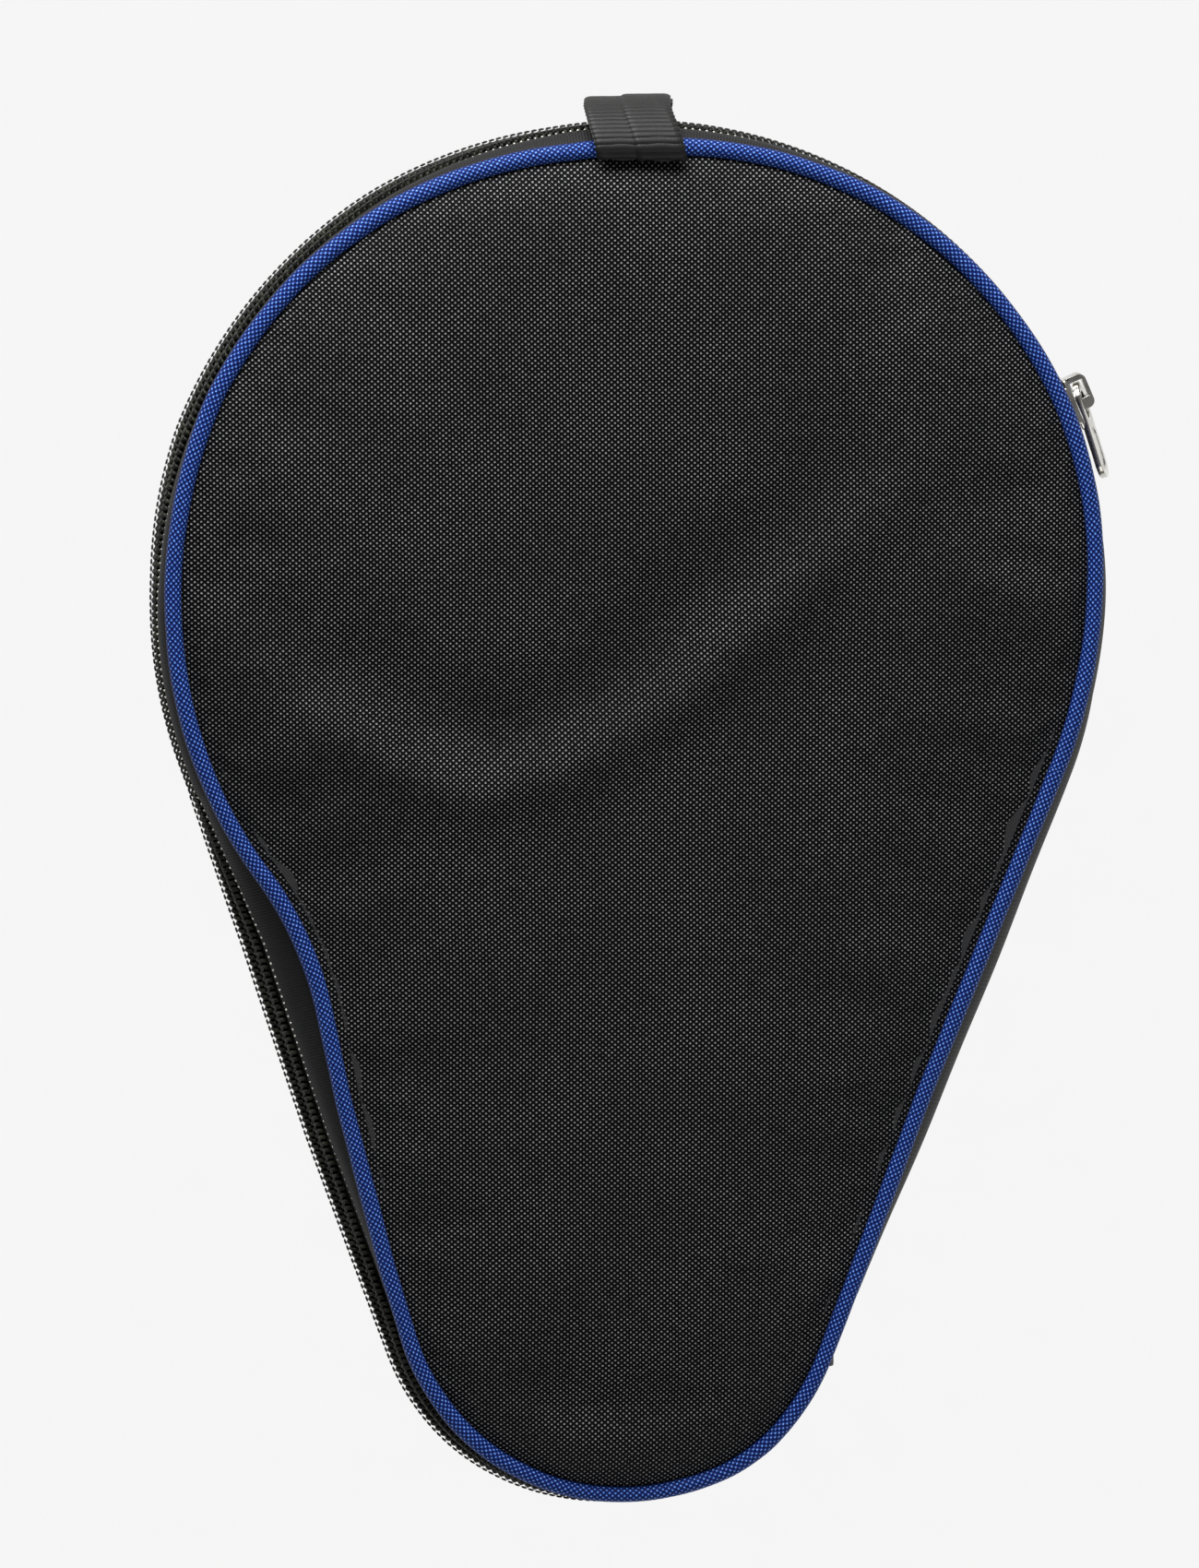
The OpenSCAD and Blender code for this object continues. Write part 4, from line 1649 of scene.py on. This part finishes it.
    def body(self) -> Piece:
        """The whole slider, joined from its parts and softly rounded like a casting."""
        parts = [
            self.half("slider_body", self.outer, -1),
            self.half("slider_inner", self.inner, 1),
            self.crown(),
            self.post(),
        ]
        for part in parts:
            modify(part, "BEVEL", width=0.24 * MM, segments=3, limit_method="ANGLE")
        pick(parts[0])
        for part in parts:
            part.select_set(True)
        bpy.ops.object.join()
        piece = bpy.context.object
        smooth(piece)
        self.set_down(piece)
        return hand_over(piece, NICKEL, Body.SLIDER, "zip_slider")

    def stadium(
        self, name: str, top: float, tip: float, width: float, depth: float, out: float = 0
    ) -> Piece:
        """A plate with round ends, from a disc whose lower half is drawn down.

        Args:
            name: The plate's name.
            top: Its upper end along the zip.
            tip: Its lower end.
            width: Its width across the zip.
            depth: Its thickness.
            out: Distance outwards of its middle.

        Returns:
            The plate.
        """
        radius = width / 2
        centre = (out, top - radius, 0)
        turned = (0, math.pi / 2, 0)
        piece = begin(
            name, bpy.ops.mesh.primitive_cylinder_add, vertices=48, radius=radius, depth=depth,
            location=centre, rotation=turned,
        )
        with editing(piece):
            choose_edges(piece, lambda edge: max(v.co.y for v in edge.verts) < centre[1] - 1e-6)
            bpy.ops.transform.translate(value=(0, tip - (top - width), 0))
        return piece

    def cut_out(self, piece: Piece, cutter: Piece) -> None:
        """Cuts one shape out of another and clears the cutter away."""
        modify(piece, "BOOLEAN", operation="DIFFERENCE", solver="EXACT", object=cutter)
        bpy.data.objects.remove(cutter, do_unlink=True)

    def plate_blank(self) -> Piece:
        """The pull's plate: round ends, a window for the crown and a recess in both faces."""
        piece = self.stadium("pull_plate", 1.5 * MM, -self.pull_l, self.pull_w, self.pull_t)
        window = self.stadium("window", self.window_top, self.window_tip, self.window_w, 4 * MM)
        self.cut_out(piece, window)
        for way in (-1, 1):
            out = way * (self.pull_t / 2 + 1 * MM - self.recess_t)
            tip = self.rim - self.pull_l
            recess = self.stadium("recess", self.recess_top, tip, self.recess_w, 2 * MM, out)
            self.cut_out(piece, recess)
        return piece

    def pull(self) -> Piece:
        """The pull: its plate and the bar that lies in the crown's window."""
        plate = self.plate_blank()
        bar = begin(
            "pull_bar", bpy.ops.mesh.primitive_cylinder_add, vertices=20, radius=self.bar_r,
            depth=self.crown_w + 1.8 * MM,
        )
        for part in (plate, bar):
            limit = math.radians(50)
            modify(part, "BEVEL", width=0.2 * MM, segments=3, limit_method="ANGLE", angle_limit=limit)
        pick(plate)
        bar.select_set(True)
        bpy.ops.object.join()
        piece = bpy.context.object
        piece.name = "pull_handle"
        smooth(piece)
        tilt = Matrix.Rotation(math.radians(-self.lean), 4, "Z")
        roll = Matrix.Rotation(math.radians(-self.roll), 4, "Y")
        piece.data.transform(Matrix.Translation((self.bar_out, self.bar_along, 0)) @ tilt @ roll)
        self.set_down(piece)
        return hand_over(piece, NICKEL, Body.PULL, "pull_tab")


# ---- The hanging loop ------------------------------------------------------------------


@dataclass
class HangLoop:
    """A webbing loop folded over at its far end into two legs that lie side by side."""

    width: float = 9.1 * MM
    thickness: float = 1.15 * MM
    rib: float = 1.05 * MM
    rib_depth: float = 0.16 * MM
    middle_x: float = 0.0 * MM
    lean: float = 2.4 * MM
    tuck: float = 1.5 * MM
    keys: tuple[tuple[float, float], ...] = (
        (92.8, 26.8),
        (94.4, 27.9),
        (96.8, 27.0),
        (99.0, 25.0),
        (101.2, 22.0),
        (102.5, 18.6),
        (102.9, 15.2),
        (102.0, 11.4),
        (99.9, 8.6),
    )

    def spine(self, share: np.ndarray) -> tuple[np.ndarray, np.ndarray, float]:
        """The legs' centre line in side view.

        Args:
            share: Shares of its length.

        Returns:
            Rows of y and z, rows of the outward direction, and the whole length.
        """
        keys = np.array(self.keys) * MM
        for _ in range(4):
            middle = 0.75 * keys[:-1] + 0.25 * keys[1:]
            later = 0.25 * keys[:-1] + 0.75 * keys[1:]
            keys = np.vstack((keys[:1], np.stack((middle, later), axis=1).reshape(-1, 2), keys[-1:]))
        steps = np.append(0, np.cumsum(np.linalg.norm(np.diff(keys, axis=0), axis=1)))
        run = share * steps[-1]
        line = np.column_stack([np.interp(run, steps, keys[:, k]) for k in range(2)])
        ahead = np.column_stack([np.interp(run + 0.2 * MM, steps, keys[:, k]) for k in range(2)])
        behind = np.column_stack([np.interp(run - 0.2 * MM, steps, keys[:, k]) for k in range(2)])
        way = ahead - behind
        way /= np.maximum(np.linalg.norm(way, axis=1), 1e-9)[:, None]
        outward = np.column_stack((-way[:, 1], way[:, 0]))
        return line, outward, float(steps[-1])

    def slant(self, along: np.ndarray) -> np.ndarray:
        """How far the loop leans to the left: most at its top, less again behind it."""
        rise = np.sin(np.clip(along / 0.5, 0, 1) * math.pi / 2)
        back = 0.75 * np.clip((along - 0.5) / 0.5, 0, 1)
        return self.lean * (rise - back)

    def leg(self, name: str, left: float, lift: float, splay: float) -> Piece:
        """One leg: a ribbed strip from the seam over the zip to the fold.

        Args:
            name: The leg's name.
            left: Its left edge.
            lift: How much higher than the other leg it lies.
            splay: How far its foot is shifted sideways.

        Returns:
            The leg.
        """
        _, _, length = self.spine(np.array([0.0]))

        def lay(along: np.ndarray, over: np.ndarray) -> np.ndarray:
            """Points of the leg's upper face, ribbed and with thinner edges."""
            line, outward, _ = self.spine(along)
            run = along * length
            rib = 0.5 + 0.5 * np.cos(run * math.tau / self.rib + 0.35 * np.sin(over * 9))
            edge = np.clip(np.minimum(over, 1 - over) / 0.05, 0, 1)
            raised = lift + self.rib_depth * rib * edge - 0.14 * MM * (1 - edge)
            point = line + outward * raised[:, None]
            across = left + over * self.width + splay * (1 - along) ** 2 - self.slant(along)
            return np.column_stack((across, point))

        cells = (round(length / self.rib * 8), 24)
        piece = strip(name, cells, (length, self.width), lay)
        modify(piece, "SOLIDIFY", thickness=self.thickness, offset=-1)
        return piece

    def fold(self) -> Piece:
        """The closed end, where the webbing crosses from one leg to the other."""
        tail = HangLoop(keys=((102.0, 11.2), (99.9, 8.4), (98.6, 7.2), (97.6, 6.6)))
        _, _, length = tail.spine(np.array([0.0]))
        full = 2 * self.width + 0.2 * MM - self.tuck

        def lay(along: np.ndarray, over: np.ndarray) -> np.ndarray:
            """Points of the folded end, slightly domed over the doubled webbing."""
            line, outward, _ = tail.spine(along)
            dome = 0.35 * MM * np.sin(math.pi * over)
            point = line + outward * dome[:, None]
            across = self.middle_x - self.width + self.tuck + over * full - self.slant(np.ones(1))
            return np.column_stack((across, point))

        piece = strip("loop_fold", (24, 40), (length, full), lay)
        modify(piece, "SOLIDIFY", thickness=self.thickness, offset=-1)
        return piece

    def build(self) -> Piece:
        """The loop, joined from its legs and its fold."""
        left = self.leg("webbing_loop", self.middle_x - self.width + self.tuck, 0, -0.35 * MM)
        right = self.leg("leg_right", self.middle_x - 0.35 * MM, 0.42 * MM, 0.5 * MM)
        end = self.fold()
        pick(left)
        right.select_set(True)
        end.select_set(True)
        bpy.ops.object.join()
        piece = bpy.context.object
        close_seams(piece)
        smooth(piece, 55)
        dress(piece, WEBBING)
        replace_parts(piece, "hang_loop")
        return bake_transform(piece)


# ---- Studio ----------------------------------------------------------------------------


@dataclass
class Studio:
    """The floor, the soft light and the camera."""

    aim: tuple[float, float, float] = (-7.75 * MM, -36.3 * MM, 24 * MM)
    back: tuple[float, float, float] = (-0.11, 0.18, 1.0)
    lens: float = 180
    view_height: float = 321.6 * MM

    def camera(self) -> None:
        """A long lens almost straight above, with +Y up in the picture."""
        back = Vector(self.back).normalized()
        right = Vector((0, 1, 0)).cross(back).normalized()
        turn = Matrix((right, back.cross(right), back)).transposed().to_4x4()
        data = bpy.data.cameras.new("camera")
        data.lens = self.lens
        distance = self.view_height * self.lens / data.sensor_width
        data.clip_end = 10
        camera = bpy.data.objects.new("camera", data)
        camera.matrix_world = Matrix.Translation(Vector(self.aim) + back * distance) @ turn
        bpy.context.scene.collection.objects.link(camera)
        bpy.context.scene.camera = camera

    def floor(self) -> Piece:
        """A pale paper floor that shows only the faintest shade under the case."""
        piece = begin("floor", bpy.ops.mesh.primitive_plane_add, size=4, location=(0, 0, -0.2 * MM))
        tree = Tree("pale paper floor")
        grain = tree.noise(12, 2.0)
        tone = tree.mix(grain, colour("#f4f4f4"), colour("#f6f6f6"))
        glow = tree.add("Emission", {"Color": tone, "Strength": 1.03})
        paper = tree.add("BsdfDiffuse", {"Color": colour("#808080")})
        both = tree.add("MixShader", {0: 0.03, 1: glow, 2: paper})
        tree.add("OutputMaterial", {"Surface": both})
        piece.data.materials.append(tree.made)
        return piece

    def light(self, name: str, place: tuple[float, float, float], size: float, power: float) -> None:
        """One soft square light that faces the case."""
        data = bpy.data.lights.new(name, "AREA")
        data.energy = power
        data.size = size
        lamp = bpy.data.objects.new(name, data)
        aim = Vector(self.aim) - Vector(place)
        turn = aim.to_track_quat("-Z", "Y").to_matrix().to_4x4()
        lamp.matrix_world = Matrix.Translation(place) @ turn
        bpy.context.scene.collection.objects.link(lamp)

    def build(self) -> None:
        """Sets up the whole studio."""
        self.camera()
        self.floor()
        self.light("softbox above", (-0.16, 0.74, 0.36), 0.45, 11.0)
        self.light("softbox low", (0.2, -0.85, 0.7), 0.7, 2.6)
        self.light("strip right", (1.1, 0.2, 0.6), 0.6, 1.5)
        world = bpy.data.worlds.new("studio")
        bpy.context.scene.world = world
        world.use_nodes = True
        world.node_tree.nodes["Background"].inputs[0].default_value = colour("#e8e9ea")
        world.node_tree.nodes["Background"].inputs[1].default_value = 0.22
        bpy.context.scene.view_settings.view_transform = "Standard"


# ---- The whole case --------------------------------------------------------------------


def dress_carried_nodes() -> None:
    """Gives the frame's own nodes that stay in view their finishes."""
    finishes = {"piping_core": FILLER, "seam_binding": BINDING}
    for side in Side:
        for part, finish in finishes.items():
            if (side, part) != (Side.FRONT, "piping_core"):
                dress(bpy.data.objects[f"{side.label}_{part}"], finish)


def main() -> None:
    """Builds every piece in order, and reports each."""
    Studio().build()
    dress_carried_nodes()
    makers: list[Callable[[], Any]] = []
    for side in Side:
        if side is Side.FRONT:
            panel = PaddedPanel(side, creases=FRONT_CREASES)
        else:
            panel = PaddedPanel(side, rise=3.6 * MM, puff=1.2 * MM)
        piping, tape, coil = Piping(side), ZipTape(side), ZipCoil(side)
        makers += [panel.cover, panel.foam, panel.lining, piping.tube, piping.stitching]
        if side is Side.FRONT:
            makers.append(piping.core)
        makers += [tape.tape, coil.coil, coil.stitching, coil.binding]
    slider = Slider()
    makers += [ZipStops().build, HingeStrip().build, slider.body, slider.pull, HangLoop().build]
    for maker in makers:
        made = maker()
        for piece in made if isinstance(made, list) else [made]:
            log.info("%s: %d faces", piece.name, len(piece.data.polygons))
    bpy.ops.object.select_all(action="DESELECT")


if __name__ == "__main__":
    logging.basicConfig(level=logging.INFO, format="%(name)s: %(message)s")
    main()
